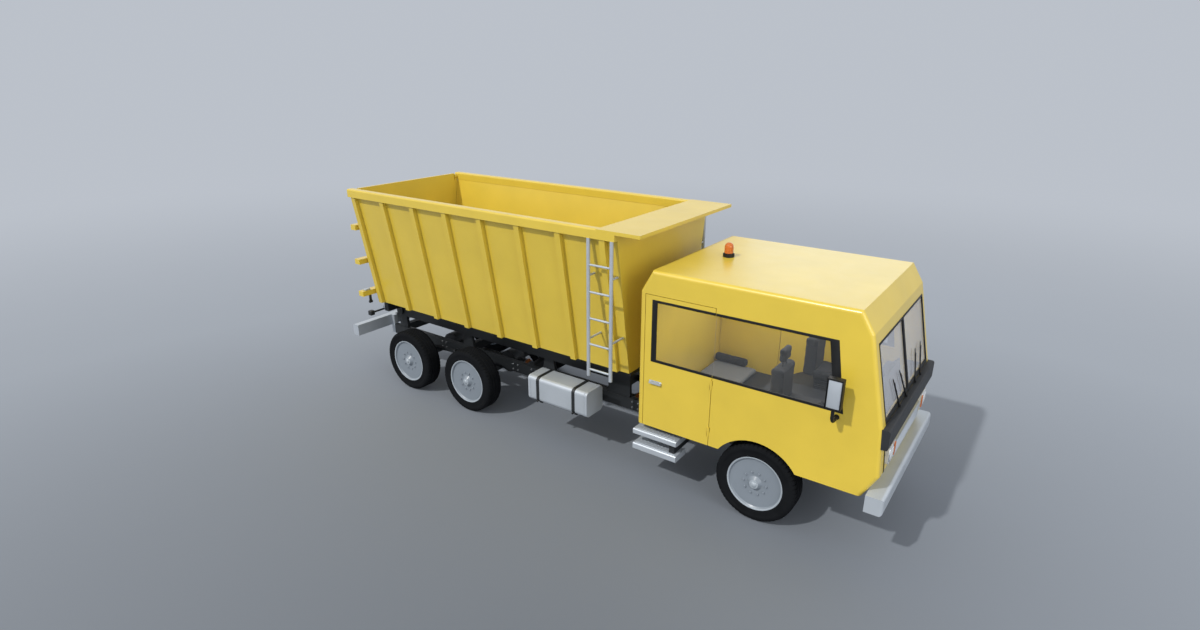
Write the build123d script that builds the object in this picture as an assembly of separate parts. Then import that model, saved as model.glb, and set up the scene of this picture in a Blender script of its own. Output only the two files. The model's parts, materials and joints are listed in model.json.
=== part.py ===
"""Three-axle dump truck with a cab over the front axle, modelled in millimetres.

x runs forward, y to the truck's left and z up. Every x is counted from the front axle, and the
finished pieces are shifted so that the origin lies on the ground under the middle of the truck.
A pair of numbers is a low and a high place on the axis that its name ends in.
"""
import math
import os

from build123d import *

# Overall reach, from the front axle
FRONT_REACH = 1510
REAR_REACH = 7780

# Clearances, and how far a cutter runs past what it cuts
RUNNING_GAP = 0.3
SWING_GAP = 6
DOOR_GAP = 8
OVERCUT = 1
OVERSIZE = 200

# Wheels
TYRE_RADIUS = 524
TYRE_WIDTH = 298
TYRE_SIDES = 72
TREAD_WIDTH = 250
SHOULDER_RADIUS = 492
RIM_SEAT_RADIUS = 345
RIM_LIP_RADIUS = 359
RIM_WALL = 15
TRACK_HALF = 990
REAR_AXLES_X = (-5000, -6428)
SPINDLE_RADIUS = 55
HUB_INBOARD = 60
HUB_OUTBOARD = 95
HUB_WALL = 40

# Ladder frame
RAIL_OUTER_Y = 480
RAIL_FLANGE = 80
RAIL_PLATE = 12
RAIL_BOTTOM = 590
RAIL_TOP = 770
RAIL_FRONT_X = 1250
RAIL_REAR_X = -7560
MEMBER_LENGTH = 110
MEMBER_MARGIN = 8
LOWER_MEMBERS_X = (1050, -1500, -2700, -5714)
REAR_MEMBER_X = -7450
DRAWBAR_ACROSS = 160
DRAWBAR_UP = 100
DRAWBAR_HOLE_RADIUS = 10.5

# Raised subframe under the bed
SUBFRAME_BOTTOM = 1000
SUBFRAME_TOP = 1180
SUBFRAME_FRONT_X = -2250
SUBFRAME_MEMBERS_X = (-2350, -3790, -7150)
POSTS_X = (-2450, -3790, -5600, -7300)
POST_FEET = (190, 130, 130, 110)
POST_HEADS = (190, 90, 90, 90)

# Front axle and steering
KINGPIN_Y = 800
KINGPIN_RADIUS = 24
KINGPIN_BOSS = 50
BEAM_DEPTH = 90
BEAM_BOTTOM = 400
BEAM_SWEEP = 200
KNUCKLE_LUG = 42
KNUCKLE_HALF = 50
STEER_ARM = 200
TIE_ROD_RADIUS = 20
TIE_EYE_RADIUS = 28
TIE_EYE_HEIGHT = 50
TIE_PIN_RADIUS = 12

# Rear axles and springs
AXLE_TUBE = 62
DIFF_RADIUS = 190
DIFF_HALF = 120
PINION_REACH = 300
PINION_RADIUS = 80
SPRING_HALF = 30
SPRING_LEAVES = 50
SPRING_END = 30
FRONT_SPRING_REACH = 650
BOGIE_SPRING_Y = 600
BOGIE_SEAT_Z = 660

# Engine and drive line
ENGINE_X = (-350, 800)
ENGINE_HALF = 300
ENGINE_Z = (560, 1240)
ENGINE_MOUNT_X = (500, 610)
ENGINE_MOUNT_Z = (640, 720)
GEARBOX_LENGTH = 800
GEARBOX_HALF = 180
GEARBOX_Z = (440, 770)
SHAFT_RADIUS = 50
YOKE_RADIUS = 72
YOKE_LENGTH = 130
YOKE_X = -2450

# Side equipment
TANK_X = (-3615, -2530)
TANK_Y = (780, 1170)
TANK_Z = (645, 1035)
TANK_ROUND = 60
TANK_FOOT = 40
STRAP = 8
STRAP_WIDTH = 50
STRAPS_X = (-3430, -2770)
STEP_X = (-1730, -1070)
STEP_Y = (920, 1200)
STEP_UPPER_Z = (690, 770)
STEP_LOWER_Z = (460, 553)
STEP_BEVEL = 12
STEP_ARM_X = (-1200, -1120)
STEP_ARM_INSET = 60
BUMPER_BACK_X = 1310
BUMPER_HALF = 1243
BUMPER_Z = (745, 955)
BUMPER_ROUND = 40
REAR_BAR_DEPTH = 140
REAR_BAR_HALF = 1220
REAR_BAR_Z = (745, 945)
REAR_BAR_ROUND = 30
LAMP_Y = (820, 1120)
LAMP_HEIGHT = 110
LAMP_DEPTH = 60
LAMP_SETBACK = 4

# Cab shell
CAB_HALF = 1167
CAB_WALL = 60
CAB_BOTTOM = 866
CAB_FLOOR = 960
CAB_REAR_X = -1684
CAB_ROUND = 46
ROOF_SPLIT = 2700
ROOF_DEPTH = 306
ROOF_REAR_RISE = 288
ROOF_REAR_RUN = 161
ROOF_FRONT_X = 1000
SCREEN_BROW_X = 1145
BROW_RISE = 66
SCREEN_BOTTOM_X = 1364
SCREEN_BOTTOM = 1740
SCREEN_HEADER = 57
SCREEN_HALF = 1040
MULLION_HALF = 20
NOSE_X = 1405
NOSE_Z = 1152
CHIN_X = 1250
ARCH_RADIUS = 600
WELL_RADIUS = 640
WELL_SHEET = 25
WELL_INNER_Y = 500
TUNNEL_GAP = 30
TUNNEL_SHEET = 20
CAB_MOUNTS_X = (-1460, 1030)
CAB_MOUNT_HALF = 75

# Doors and side windows
DOOR_REAR_X = -1600
DOOR_FRONT_X = -640
WINDOW_REAR_X = -1505
WINDOW_BOTTOM = 1801
WINDOW_HEADER = 62
WINDOW_FRONT_BOTTOM_X = 943
WINDOW_FRONT_TOP_X = 804
GLASS = 8
GLASS_INSET = 12
HINGE_RADIUS = 14
HINGE_PIN = 7
HINGE_HEIGHT = 60
HINGES_Z = (1000, 1640)
HANDLE_X = (-1505, -1337)
HANDLE_Z = 1520
HANDLE_REACH = 34
HANDLE_GRIP = 14
HANDLE_FOOT = 26

# Cab front and roof fittings
FRONT_BAR_Z = (1500, 1735)
FRONT_BAR_X = 1445
FRONT_BAR_HALF = 1150
FRONT_BAR_ROUND = 25
GRILLE_Z = (1170, 1360)
GRILLE_HALF = 620
GRILLE_X = 1425
HEADLAMP_Y = (670, 950)
HEADLAMP_Z = (1220, 1440)
HEADLAMP_X = 1430
HEADLAMP_ROUND = 40
WIPER_RADIUS = 8
WIPER_STANDOFF = 4
WIPER_TIP_Z = 2060
WIPER_FEET_Y = (-476, -155, 319, 595)
WIPER_TIPS_Y = (-614, -320, 433, 720)
MIRROR_X = 880
MIRROR_Y = 1360
MIRROR_Z = (1935, 2285)
MIRROR_HALF_X = 85
MIRROR_HALF_Y = 45
MIRROR_ROUND = 20
MIRROR_ARM_Z = 1750
MIRROR_ARM_RADIUS = 22
MIRROR_ARM_BEND = 70
MIRROR_ARM_SEAT = 10
BEACON_X = -1054
BEACON_BASE_RADIUS = 76
BEACON_BASE = 40
BEACON_RADIUS = 58
BEACON_HEIGHT = 150

# Cabin
SEAT_Y = (370, 850)
SEAT_BASE_X = (60, 560)
SEAT_CUSHION_Z = (1380, 1530)
SEAT_BACK_X = (-40, 120)
SEAT_BACK_TOP = 1990
SEAT_FOOT_INSET = 60
HEADREST_Y = (480, 740)
HEADREST_X = (0, 100)
HEADREST_TOP = 2200
BUNK_FRONT_X = -900
BUNK_HEIGHT = 90
BUNK_ROUND = 40
DASH_BACK_X = 960
DASH_Z = (1330, 1690)
DASH_UNDERCUT = 120
DASH_BROW = 60
WHEEL_X = 720
WHEEL_Y = 610
WHEEL_Z = 1690
WHEEL_RADIUS = 215
WHEEL_GRIP = 16
COLUMN_RADIUS = 35

# Bed
BED_TOP = 3442
BED_BOTTOM = 1376
BED_REAR_X = -7336
BED_FRONT_X = -2016
BED_WALL = 50
BED_FLOOR = 50
BED_HALF_TOP = 1275
BED_RAIL_HEIGHT = 131
BED_RAIL_WIDTH = 130
BED_RAIL_LIP = 75
BED_RAIL_ROUND = 25
BED_WALL_LEAN = 324
RIB_COUNT = 8
RIB_REAR_INSET = 52
RIB_FRONT_INSET = 207
RIB_WIDTH = 90
RIB_DEPTH = 60
CANOPY_BACK = 284
CANOPY_FRONT = 376
CANOPY_PLATE = 45
SILL_GAP = 5
BEARER = 100
BEARER_COUNT = 7
BEARER_DEPTH = 56
LADDER_INSET = 13
LADDER_RAILS_X = (-2425, -2063)
LADDER_FOOT = 15
LADDER_RAIL_RADIUS = 25
LADDER_RUNG_RADIUS = 15
LADDER_RUNG_COUNT = 5
LADDER_FIRST_RUNG = 99
LADDER_LAST_RUNG = 351
LADDER_STAY_SHARES = (0.28, 0.74)

# Bed hinge and hoist
BED_HINGE_X = -7330
HINGE_PIN_RADIUS = 35
HINGE_EAR = 30
HINGE_EAR_RADIUS = 75
HOIST_BASE_X = -4250
HOIST_BASE_Z = 880
HOIST_EYE_X = -6600
HOIST_EYE_Z = 1250
HOIST_PIN_RADIUS = 30
HOIST_EYE_RADIUS = 66
HOIST_EYE_WIDTH = 100
HOIST_EAR = 25
BARREL_RADIUS = 95
BARREL_LENGTH = 1700
BARREL_COLLAR = 12
BARREL_COLLAR_LENGTH = 90
ROD_RADIUS = 45
ROD_SEAT = 600

# Tailgate
GATE_PLATE = 50
GATE_DROP = 36
GATE_HEAD = 142
GATE_CREST = 10
GATE_PIN_DROP = 66
GATE_PIN_RADIUS = 20
GATE_EAR = 50
GATE_EAR_RADIUS = 42
GATE_BAR_REACH = 124
GATE_BAR_HEIGHT = 90
GATE_BAR_SHARES = (0.122, 0.421, 0.73)
HOOK_Y = 700
HOOK_PLATE = 40
HOOK_DEPTH = 60
HOOK_REACH = 120

# Solids that stand on the middle of their base
ON_BASE = (Align.CENTER, Align.CENTER, Align.MIN)

# Sizes that follow from those above
AXLE_Z = TYRE_RADIUS
FRONT_AXLE_X = (REAR_REACH - FRONT_REACH) / 2
RAIL_INNER_Y = RAIL_OUTER_Y - RAIL_FLANGE
WEB_INNER_Y = RAIL_OUTER_Y - RAIL_PLATE
SPRING_Y = RAIL_OUTER_Y - RAIL_FLANGE / 2
BED_HINGE_Z = (SUBFRAME_BOTTOM + SUBFRAME_TOP) / 2
SUBFRAME_HALF_HEIGHT = (SUBFRAME_TOP - SUBFRAME_BOTTOM) / 2
CAB_INNER_Y = CAB_HALF - CAB_WALL
CAB_TOP = ROOF_SPLIT + ROOF_DEPTH
SCREEN_BROW = ROOF_SPLIT + BROW_RISE
SCREEN_TOP = ROOF_SPLIT - SCREEN_HEADER
WINDOW_TOP = ROOF_SPLIT - WINDOW_HEADER
DOOR_TOP = ROOF_SPLIT - DOOR_GAP
PANE_Y = (CAB_HALF - GLASS_INSET - GLASS, CAB_HALF - GLASS_INSET)
QUARTER_REAR_X = DOOR_FRONT_X + DOOR_GAP
SCREEN_RAKE = (SCREEN_BOTTOM_X - SCREEN_BROW_X) / (SCREEN_BROW - SCREEN_BOTTOM)
SILL_BOTTOM = SUBFRAME_TOP + SILL_GAP
RAIL_UNDERSIDE = BED_TOP - BED_RAIL_HEIGHT
BED_WALL_TOP_Y = BED_HALF_TOP - BED_RAIL_LIP
BED_WALL_BOTTOM_Y = BED_WALL_TOP_Y - BED_WALL_LEAN
WALL_SLOPE = BED_WALL_LEAN / (RAIL_UNDERSIDE - BED_BOTTOM)
WALL_ACROSS = BED_WALL * math.hypot(1, WALL_SLOPE)
BEARER_HALF = BED_WALL_BOTTOM_Y - BED_WALL
CANOPY_X = (BED_FRONT_X - CANOPY_BACK, BED_FRONT_X + CANOPY_FRONT)
LADDER_Y = BED_HALF_TOP - LADDER_INSET
LADDER_BOTTOM = BED_BOTTOM + LADDER_FOOT
GATE_X = (BED_REAR_X - GATE_PLATE - SWING_GAP, BED_REAR_X - SWING_GAP)
GATE_PIN_X = sum(GATE_X) / 2
GATE_PIN_Z = BED_TOP - GATE_PIN_DROP
GATE_BOTTOM = BED_BOTTOM - GATE_DROP
GATE_TOP = BED_TOP - GATE_HEAD


def block(x, y, z):
    """Box between (low, high) pairs."""
    size = Box(x[1] - x[0], y[1] - y[0], z[1] - z[0])
    return Pos(sum(x) / 2, sum(y) / 2, sum(z) / 2) * size


def side_prism(points, y):
    """Outline in x and z, given width from y[0] to y[1]."""
    outline = Plane.XZ * make_face(Polyline(*points, close=True))
    return Pos(0, y[1], 0) * extrude(outline, y[1] - y[0], dir=(0, -1, 0))


def front_prism(points, x):
    """Outline in y and z, given length from x[0] to x[1]."""
    outline = Plane.YZ * make_face(Polyline(*points, close=True))
    return Pos(x[0], 0, 0) * extrude(outline, x[1] - x[0], dir=(1, 0, 0))


def bar(start, end, radius):
    """Round bar between two points."""
    start, end = Vector(*start), Vector(*end)
    along = end - start
    return Plane(origin=start, z_dir=along) * Cylinder(radius, along.length, align=ON_BASE)


def cross_bar(x, z, radius, y):
    """Round bar across the truck from y[0] to y[1]."""
    return bar((x, y[0], z), (x, y[1], z), radius)


def mirrored(shape):
    return mirror(shape, Plane.XZ)


def pair(shape):
    """The left piece and its mirror image on the right."""
    return [shape, mirrored(shape)]


def save(name, *shapes):
    """Shift the pieces to the middle of the truck and write them as one node."""
    solids = [Pos(FRONT_AXLE_X, 0, 0) * solid for shape in shapes for solid in shape.solids()]
    whole = solids[0] if len(solids) == 1 else Compound(children=solids)
    export_step(whole, f"parts/{name}.step")


def bed_wall_y(z):
    """Outer face of the sloping bed wall at a height."""
    return BED_WALL_BOTTOM_Y + (z - BED_BOTTOM) * WALL_SLOPE


def screen_x(z):
    """Outer face of the raked windscreen plane at a height."""
    return SCREEN_BOTTOM_X - (z - SCREEN_BOTTOM) * SCREEN_RAKE


# Wheels

def faceted_ring(rows):
    """Ring of flat facets about the axle line; rows are a closed outline of distance outboard and radius."""
    def corner(row, step):
        out, radius = row
        angle = 2 * math.pi * step / TYRE_SIDES
        return (radius * math.cos(angle), out, radius * math.sin(angle))

    facets = []
    for row, after in zip(rows, rows[1:] + rows[:1]):
        for step in range(TYRE_SIDES):
            corners = [corner(row, step), corner(after, step), corner(after, step + 1), corner(row, step + 1)]
            facets.append(Face(Wire.make_polygon(corners)))
    return Solid(Shell(facets))


def tyre(x):
    """Tread, shoulders and sidewalls round the bead seat."""
    half = TYRE_WIDTH / 2
    bead = half - RIM_LIP_RADIUS + RIM_SEAT_RADIUS - SWING_GAP
    tread = TREAD_WIDTH / 2
    seat = (RIM_SEAT_RADIUS + RUNNING_GAP) / math.cos(math.pi / TYRE_SIDES)
    rows = [
        (-bead, seat), (bead, seat), (half, SHOULDER_RADIUS),
        (tread, TYRE_RADIUS), (-tread, TYRE_RADIUS), (-half, SHOULDER_RADIUS),
    ]
    return Pos(x, TRACK_HALF, AXLE_Z) * faceted_ring(rows)


def wheel_turned(points, x):
    """Turn a profile of (distance outboard of the wheel's middle, radius) about the axle line."""
    outline = make_face(Polyline(*[(TRACK_HALF + out, radius) for out, radius in points], close=True))
    ring = revolve(Plane.YZ * outline, Axis.Y)
    return Pos(x, 0, AXLE_Z) * ring


def rim(x):
    half = TYRE_WIDTH / 2
    lip = half - RIM_LIP_RADIUS + RIM_SEAT_RADIUS
    inside = RIM_SEAT_RADIUS - RIM_WALL
    bore = SPINDLE_RADIUS + RUNNING_GAP
    hub = bore + HUB_WALL
    disc = HUB_OUTBOARD + RIM_WALL
    profile = [
        (-lip, RIM_SEAT_RADIUS), (lip - SWING_GAP, RIM_SEAT_RADIUS), (lip - SWING_GAP, RIM_LIP_RADIUS),
        (lip, RIM_LIP_RADIUS), (disc, inside), (disc, hub), (half, bore), (half, 0),
        (HUB_OUTBOARD, 0), (HUB_OUTBOARD, bore), (-HUB_INBOARD, bore), (-HUB_INBOARD, hub),
        (HUB_OUTBOARD, hub), (HUB_OUTBOARD, inside), (-lip, inside),
    ]
    return wheel_turned(profile, x)


def knuckle():
    """Left steering knuckle: two lugs about the kingpin, spindle and steering arm."""
    boss_z = (AXLE_Z - BEAM_DEPTH / 2 - SWING_GAP, AXLE_Z + BEAM_DEPTH / 2 + SWING_GAP)
    web_y = (KINGPIN_Y + KINGPIN_BOSS + SWING_GAP, TRACK_HALF - HUB_INBOARD - SWING_GAP)
    top = boss_z[1] + KNUCKLE_LUG
    bottom = boss_z[0] - KNUCKLE_LUG
    body = block((-KNUCKLE_HALF, KNUCKLE_HALF), web_y, (bottom, top))
    for z in ((bottom, boss_z[0]), (boss_z[1], top)):
        body += block((-KNUCKLE_HALF, KNUCKLE_HALF), (KINGPIN_Y, web_y[1]), z)
        body += bar((0, KINGPIN_Y, z[0]), (0, KINGPIN_Y, z[1]), KNUCKLE_HALF)
    body += bar((0, KINGPIN_Y, bottom), (0, KINGPIN_Y, top), KINGPIN_RADIUS)
    body += cross_bar(0, AXLE_Z, SPINDLE_RADIUS, (web_y[0], TRACK_HALF + HUB_OUTBOARD - SWING_GAP))
    arm_z = (bottom, boss_z[0] - RUNNING_GAP)
    body += block((-STEER_ARM, 0), (KINGPIN_Y - TIE_EYE_RADIUS, KINGPIN_Y + TIE_EYE_RADIUS), arm_z)
    body += bar((-STEER_ARM, KINGPIN_Y, arm_z[0]), (-STEER_ARM, KINGPIN_Y, arm_z[1]), TIE_EYE_RADIUS)
    pin_foot = bottom - RUNNING_GAP - TIE_EYE_HEIGHT
    body += bar((-STEER_ARM, KINGPIN_Y, pin_foot), (-STEER_ARM, KINGPIN_Y, bottom), TIE_PIN_RADIUS)
    return body


def tie_rod():
    """Bar between the two steering arms, an eye on each end."""
    top = AXLE_Z - BEAM_DEPTH / 2 - SWING_GAP - KNUCKLE_LUG - RUNNING_GAP
    bottom = top - TIE_EYE_HEIGHT
    rod = cross_bar(-STEER_ARM, (top + bottom) / 2, TIE_ROD_RADIUS, (-KINGPIN_Y, KINGPIN_Y))
    for y in (-KINGPIN_Y, KINGPIN_Y):
        rod += bar((-STEER_ARM, y, bottom), (-STEER_ARM, y, top), TIE_EYE_RADIUS)
    bore = TIE_PIN_RADIUS + RUNNING_GAP
    for y in (-KINGPIN_Y, KINGPIN_Y):
        rod -= bar((-STEER_ARM, y, bottom - OVERCUT), (-STEER_ARM, y, top + OVERCUT), bore)
    return rod


# Frame and drive line

def frame_rail():
    """Channel section, open towards the middle."""
    outer, inner, web = RAIL_OUTER_Y, RAIL_INNER_Y, WEB_INNER_Y
    low, high = RAIL_BOTTOM, RAIL_TOP
    section = [
        (outer, low), (outer, high), (inner, high), (inner, high - RAIL_PLATE),
        (web, high - RAIL_PLATE), (web, low + RAIL_PLATE), (inner, low + RAIL_PLATE), (inner, low),
    ]
    return front_prism(section, (RAIL_REAR_X, RAIL_FRONT_X))


def lower_member(x):
    z = (RAIL_BOTTOM + RAIL_PLATE + MEMBER_MARGIN, RAIL_TOP - RAIL_PLATE - MEMBER_MARGIN)
    return block((x - MEMBER_LENGTH / 2, x + MEMBER_LENGTH / 2), (-WEB_INNER_Y, WEB_INNER_Y), z)


def rear_member():
    """Rear cross-member drilled for a drawbar coupling."""
    x = REAR_MEMBER_X
    middle_z = (RAIL_BOTTOM + RAIL_TOP) / 2
    member = lower_member(x)
    for y in (-DRAWBAR_ACROSS / 2, DRAWBAR_ACROSS / 2):
        for z in (middle_z - DRAWBAR_UP / 2, middle_z + DRAWBAR_UP / 2):
            member -= bar((x - MEMBER_LENGTH, y, z), (x + MEMBER_LENGTH, y, z), DRAWBAR_HOLE_RADIUS)
    return member


def hoist_base():
    """Cross-member with two ears and the pin that carries the hoist barrel."""
    inside = HOIST_EYE_WIDTH / 2 + SWING_GAP
    outside = inside + HOIST_EAR
    seat = RAIL_TOP - RAIL_PLATE - MEMBER_MARGIN
    foot = HOIST_EYE_RADIUS + HOIST_EAR
    body = lower_member(HOIST_BASE_X)
    for y in ((-outside, -inside), (inside, outside)):
        outline = [
            (HOIST_BASE_X - foot, seat - HOIST_EAR), (HOIST_BASE_X + foot, seat - HOIST_EAR),
            (HOIST_BASE_X + HOIST_EYE_RADIUS, HOIST_BASE_Z), (HOIST_BASE_X - HOIST_EYE_RADIUS, HOIST_BASE_Z),
        ]
        body += side_prism(outline, y) + cross_bar(HOIST_BASE_X, HOIST_BASE_Z, HOIST_EYE_RADIUS, y)
    return body + cross_bar(HOIST_BASE_X, HOIST_BASE_Z, HOIST_PIN_RADIUS, (-outside, outside))


def subframe_rail():
    """Box rail with a round rear end and the pin that the bed turns on."""
    y = (RAIL_INNER_Y, RAIL_OUTER_Y)
    rail = block((BED_HINGE_X, SUBFRAME_FRONT_X), y, (SUBFRAME_BOTTOM, SUBFRAME_TOP))
    rail += cross_bar(BED_HINGE_X, BED_HINGE_Z, SUBFRAME_HALF_HEIGHT, y)
    pin_y = (RAIL_OUTER_Y, RAIL_OUTER_Y + HINGE_EAR + 2 * SWING_GAP)
    return rail + cross_bar(BED_HINGE_X, BED_HINGE_Z, HINGE_PIN_RADIUS, pin_y)


def subframe_member(x):
    inset = RAIL_PLATE + MEMBER_MARGIN
    z = (SUBFRAME_BOTTOM + inset, SUBFRAME_TOP - inset)
    return block((x - MEMBER_LENGTH / 2, x + MEMBER_LENGTH / 2), (-RAIL_INNER_Y, RAIL_INNER_Y), z)


def subframe_posts():
    """Webs between the lower rail and the subframe."""
    posts = []
    y = (RAIL_INNER_Y + RAIL_PLATE, RAIL_OUTER_Y - RAIL_PLATE)
    for x, foot, head in zip(POSTS_X, POST_FEET, POST_HEADS):
        outline = [
            (x - foot, RAIL_TOP), (x + foot, RAIL_TOP),
            (x + head, SUBFRAME_BOTTOM), (x - head, SUBFRAME_BOTTOM),
        ]
        posts += pair(side_prism(outline, y))
    return posts


def cab_mounts():
    """Blocks between the rails and the cab floor."""
    rail_y = (RAIL_INNER_Y, RAIL_OUTER_Y)
    mounts = []
    for x in CAB_MOUNTS_X:
        mounts += pair(block((x - CAB_MOUNT_HALF, x + CAB_MOUNT_HALF), rail_y, (RAIL_TOP, CAB_BOTTOM)))
    return mounts


def bumper_brackets():
    z = (RAIL_TOP, CAB_BOTTOM - SWING_GAP)
    return pair(block((RAIL_FRONT_X - MEMBER_LENGTH, BUMPER_BACK_X), (RAIL_INNER_Y, RAIL_OUTER_Y), z))


def front_axle():
    """Dropped beam with a boss about each kingpin."""
    low = BEAM_BOTTOM
    boss_low = AXLE_Z - BEAM_DEPTH / 2
    boss_high = AXLE_Z + BEAM_DEPTH / 2
    neck_y = KINGPIN_Y - KNUCKLE_HALF - 2 * SWING_GAP
    drop_y = KINGPIN_Y - BEAM_SWEEP
    half = [
        (drop_y, low), (neck_y, boss_low), (KINGPIN_Y, boss_low),
        (KINGPIN_Y, boss_high), (neck_y, boss_high), (drop_y, low + BEAM_DEPTH),
    ]
    section = half + [(-y, z) for y, z in reversed(half)]
    beam = front_prism(section, (-BEAM_DEPTH / 2, BEAM_DEPTH / 2))
    for y in (-KINGPIN_Y, KINGPIN_Y):
        beam += bar((0, y, boss_low), (0, y, boss_high), KINGPIN_BOSS)
    for y in (-KINGPIN_Y, KINGPIN_Y):
        beam -= bar((0, y, boss_low - OVERCUT), (0, y, boss_high + OVERCUT), KINGPIN_RADIUS + RUNNING_GAP)
    return beam


def rear_axle(x):
    """Tube, differential bowl, pinion nose and the spindles that carry the wheels."""
    tube_end = TRACK_HALF - HUB_INBOARD - SWING_GAP
    spindle_end = TRACK_HALF + HUB_OUTBOARD - SWING_GAP
    axle = cross_bar(x, AXLE_Z, AXLE_TUBE, (-tube_end, tube_end))
    axle += cross_bar(x, AXLE_Z, SPINDLE_RADIUS, (-spindle_end, spindle_end))
    axle += cross_bar(x, AXLE_Z, DIFF_RADIUS, (-DIFF_HALF, DIFF_HALF))
    return axle + bar((x, 0, AXLE_Z), (x + PINION_REACH, 0, AXLE_Z), PINION_RADIUS)


def leaf_spring(ends_x, end_z, middle_z, y):
    """Arched pack of leaves, thin at its ends and thick in the middle."""
    middle_x = sum(ends_x) / 2
    low = ThreePointArc((ends_x[0], end_z), (middle_x, middle_z), (ends_x[1], end_z))
    high_z = end_z + SPRING_END
    high = ThreePointArc((ends_x[1], high_z), (middle_x, middle_z + SPRING_LEAVES), (ends_x[0], high_z))
    outline = make_face([low, Line(low @ 1, high @ 0), high, Line(high @ 1, low @ 0)])
    spring = extrude(Plane.XZ * outline, 2 * SPRING_HALF, dir=(0, -1, 0))
    return Pos(0, y + SPRING_HALF, 0) * spring


def front_spring():
    end_z = RAIL_BOTTOM - SPRING_END
    return leaf_spring((-FRONT_SPRING_REACH, FRONT_SPRING_REACH), end_z, BEAM_BOTTOM + BEAM_DEPTH, SPRING_Y)


def bogie_spring():
    ends_x = (REAR_AXLES_X[1] - AXLE_TUBE, REAR_AXLES_X[0] + AXLE_TUBE)
    return leaf_spring(ends_x, AXLE_Z + AXLE_TUBE, BOGIE_SEAT_Z, BOGIE_SPRING_Y)


def bogie_seats():
    """Brackets on the rails that carry the middle of the bogie springs."""
    x = sum(REAR_AXLES_X) / 2
    y = (RAIL_OUTER_Y, BOGIE_SPRING_Y + SPRING_HALF)
    seat = block((x - MEMBER_LENGTH, x + MEMBER_LENGTH), y, (RAIL_BOTTOM, BOGIE_SEAT_Z))
    return pair(seat - bogie_spring())


def engine():
    """Engine and gearbox as one plain mass."""
    block_part = block(ENGINE_X, (-ENGINE_HALF, ENGINE_HALF), ENGINE_Z)
    gearbox_x = (ENGINE_X[0] - GEARBOX_LENGTH, ENGINE_X[0])
    return block_part + block(gearbox_x, (-GEARBOX_HALF, GEARBOX_HALF), GEARBOX_Z)


def engine_mounts():
    """Arms from the rails' webs to the engine's flanks."""
    return pair(block(ENGINE_MOUNT_X, (ENGINE_HALF, WEB_INNER_Y), ENGINE_MOUNT_Z))


def drive_shaft(low_x, high_x, yokes_x):
    """Tube along the truck with a joint yoke at each place given."""
    shaft = bar((low_x, 0, AXLE_Z), (high_x, 0, AXLE_Z), SHAFT_RADIUS)
    for x in yokes_x:
        shaft += bar((x, 0, AXLE_Z), (x + YOKE_LENGTH, 0, AXLE_Z), YOKE_RADIUS)
    return shaft


def drive_shafts():
    """Shaft from the gearbox to the first rear axle, and the one between the rear axles."""
    gearbox_end = ENGINE_X[0] - GEARBOX_LENGTH
    first = REAR_AXLES_X[0] + PINION_REACH
    second = REAR_AXLES_X[1] + PINION_REACH
    main = drive_shaft(first, gearbox_end, (first, YOKE_X, gearbox_end - YOKE_LENGTH))
    return [main, drive_shaft(second, REAR_AXLES_X[0] - DIFF_RADIUS, (second,))]


# Side equipment

def rounded_section(y, z, radius, x):
    """Rounded rectangle in y and z, given length from x[0] to x[1]."""
    outline = RectangleRounded(y[1] - y[0], z[1] - z[0], radius)
    placed = Plane.YZ * (Pos(sum(y) / 2, sum(z) / 2) * outline)
    return Pos(x[0], 0, 0) * extrude(placed, x[1] - x[0], dir=(1, 0, 0))


def fuel_tank():
    return rounded_section(TANK_Y, TANK_Z, TANK_ROUND, TANK_X)


def tank_strap(x):
    """Band around the tank on a bracket that reaches out from the rail."""
    length = (x - STRAP_WIDTH / 2, x + STRAP_WIDTH / 2)
    gap = RUNNING_GAP
    inner_y = (TANK_Y[0] - gap, TANK_Y[1] + gap)
    inner_z = (TANK_Z[0] - gap, TANK_Z[1] + gap)
    outer_y = (inner_y[0] - STRAP, inner_y[1] + STRAP)
    outer_z = (inner_z[0] - STRAP, inner_z[1] + STRAP)
    band = rounded_section(outer_y, outer_z, TANK_ROUND + STRAP + gap, length)
    arm = block(length, (RAIL_OUTER_Y, TANK_Y[0] + TANK_ROUND), (RAIL_BOTTOM, RAIL_TOP))
    foot = block(length, (TANK_Y[0], TANK_Y[1] - TANK_ROUND), (TANK_Z[0] - TANK_FOOT, TANK_Z[0]))
    return band + arm + foot - rounded_section(inner_y, inner_z, TANK_ROUND + gap, length)


def cab_step(z):
    tread = block(STEP_X, STEP_Y, z)
    return chamfer(tread.edges().filter_by(Axis.X), STEP_BEVEL)


def step_arm():
    """Bracket from the rail that holds both treads."""
    return block(STEP_ARM_X, (RAIL_OUTER_Y, STEP_Y[1] - STEP_ARM_INSET), (STEP_LOWER_Z[1], STEP_UPPER_Z[0]))


def front_bumper():
    bumper = block((BUMPER_BACK_X, FRONT_REACH), (-BUMPER_HALF, BUMPER_HALF), BUMPER_Z)
    front_edges = bumper.edges().filter_by(Axis.Y).group_by(Axis.X)[-1]
    corner_edges = bumper.edges().filter_by(Axis.Z).group_by(Axis.X)[-1]
    return fillet(front_edges + corner_edges, BUMPER_ROUND)


def rear_bar():
    """Underrun bar with its two stays from the frame rails' ends."""
    back = (-REAR_REACH, REAR_BAR_DEPTH - REAR_REACH)
    body = block(back, (-REAR_BAR_HALF, REAR_BAR_HALF), REAR_BAR_Z)
    body = fillet(body.edges().filter_by(Axis.Y).group_by(Axis.X)[0], REAR_BAR_ROUND)
    for y in ((-RAIL_OUTER_Y, -RAIL_INNER_Y), (RAIL_INNER_Y, RAIL_OUTER_Y)):
        body += block((back[1], RAIL_REAR_X), y, (RAIL_BOTTOM, REAR_BAR_Z[1]))
    for pocket in pair(lamp_room(-OVERCUT, 0)):
        body -= pocket
    return body


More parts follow.
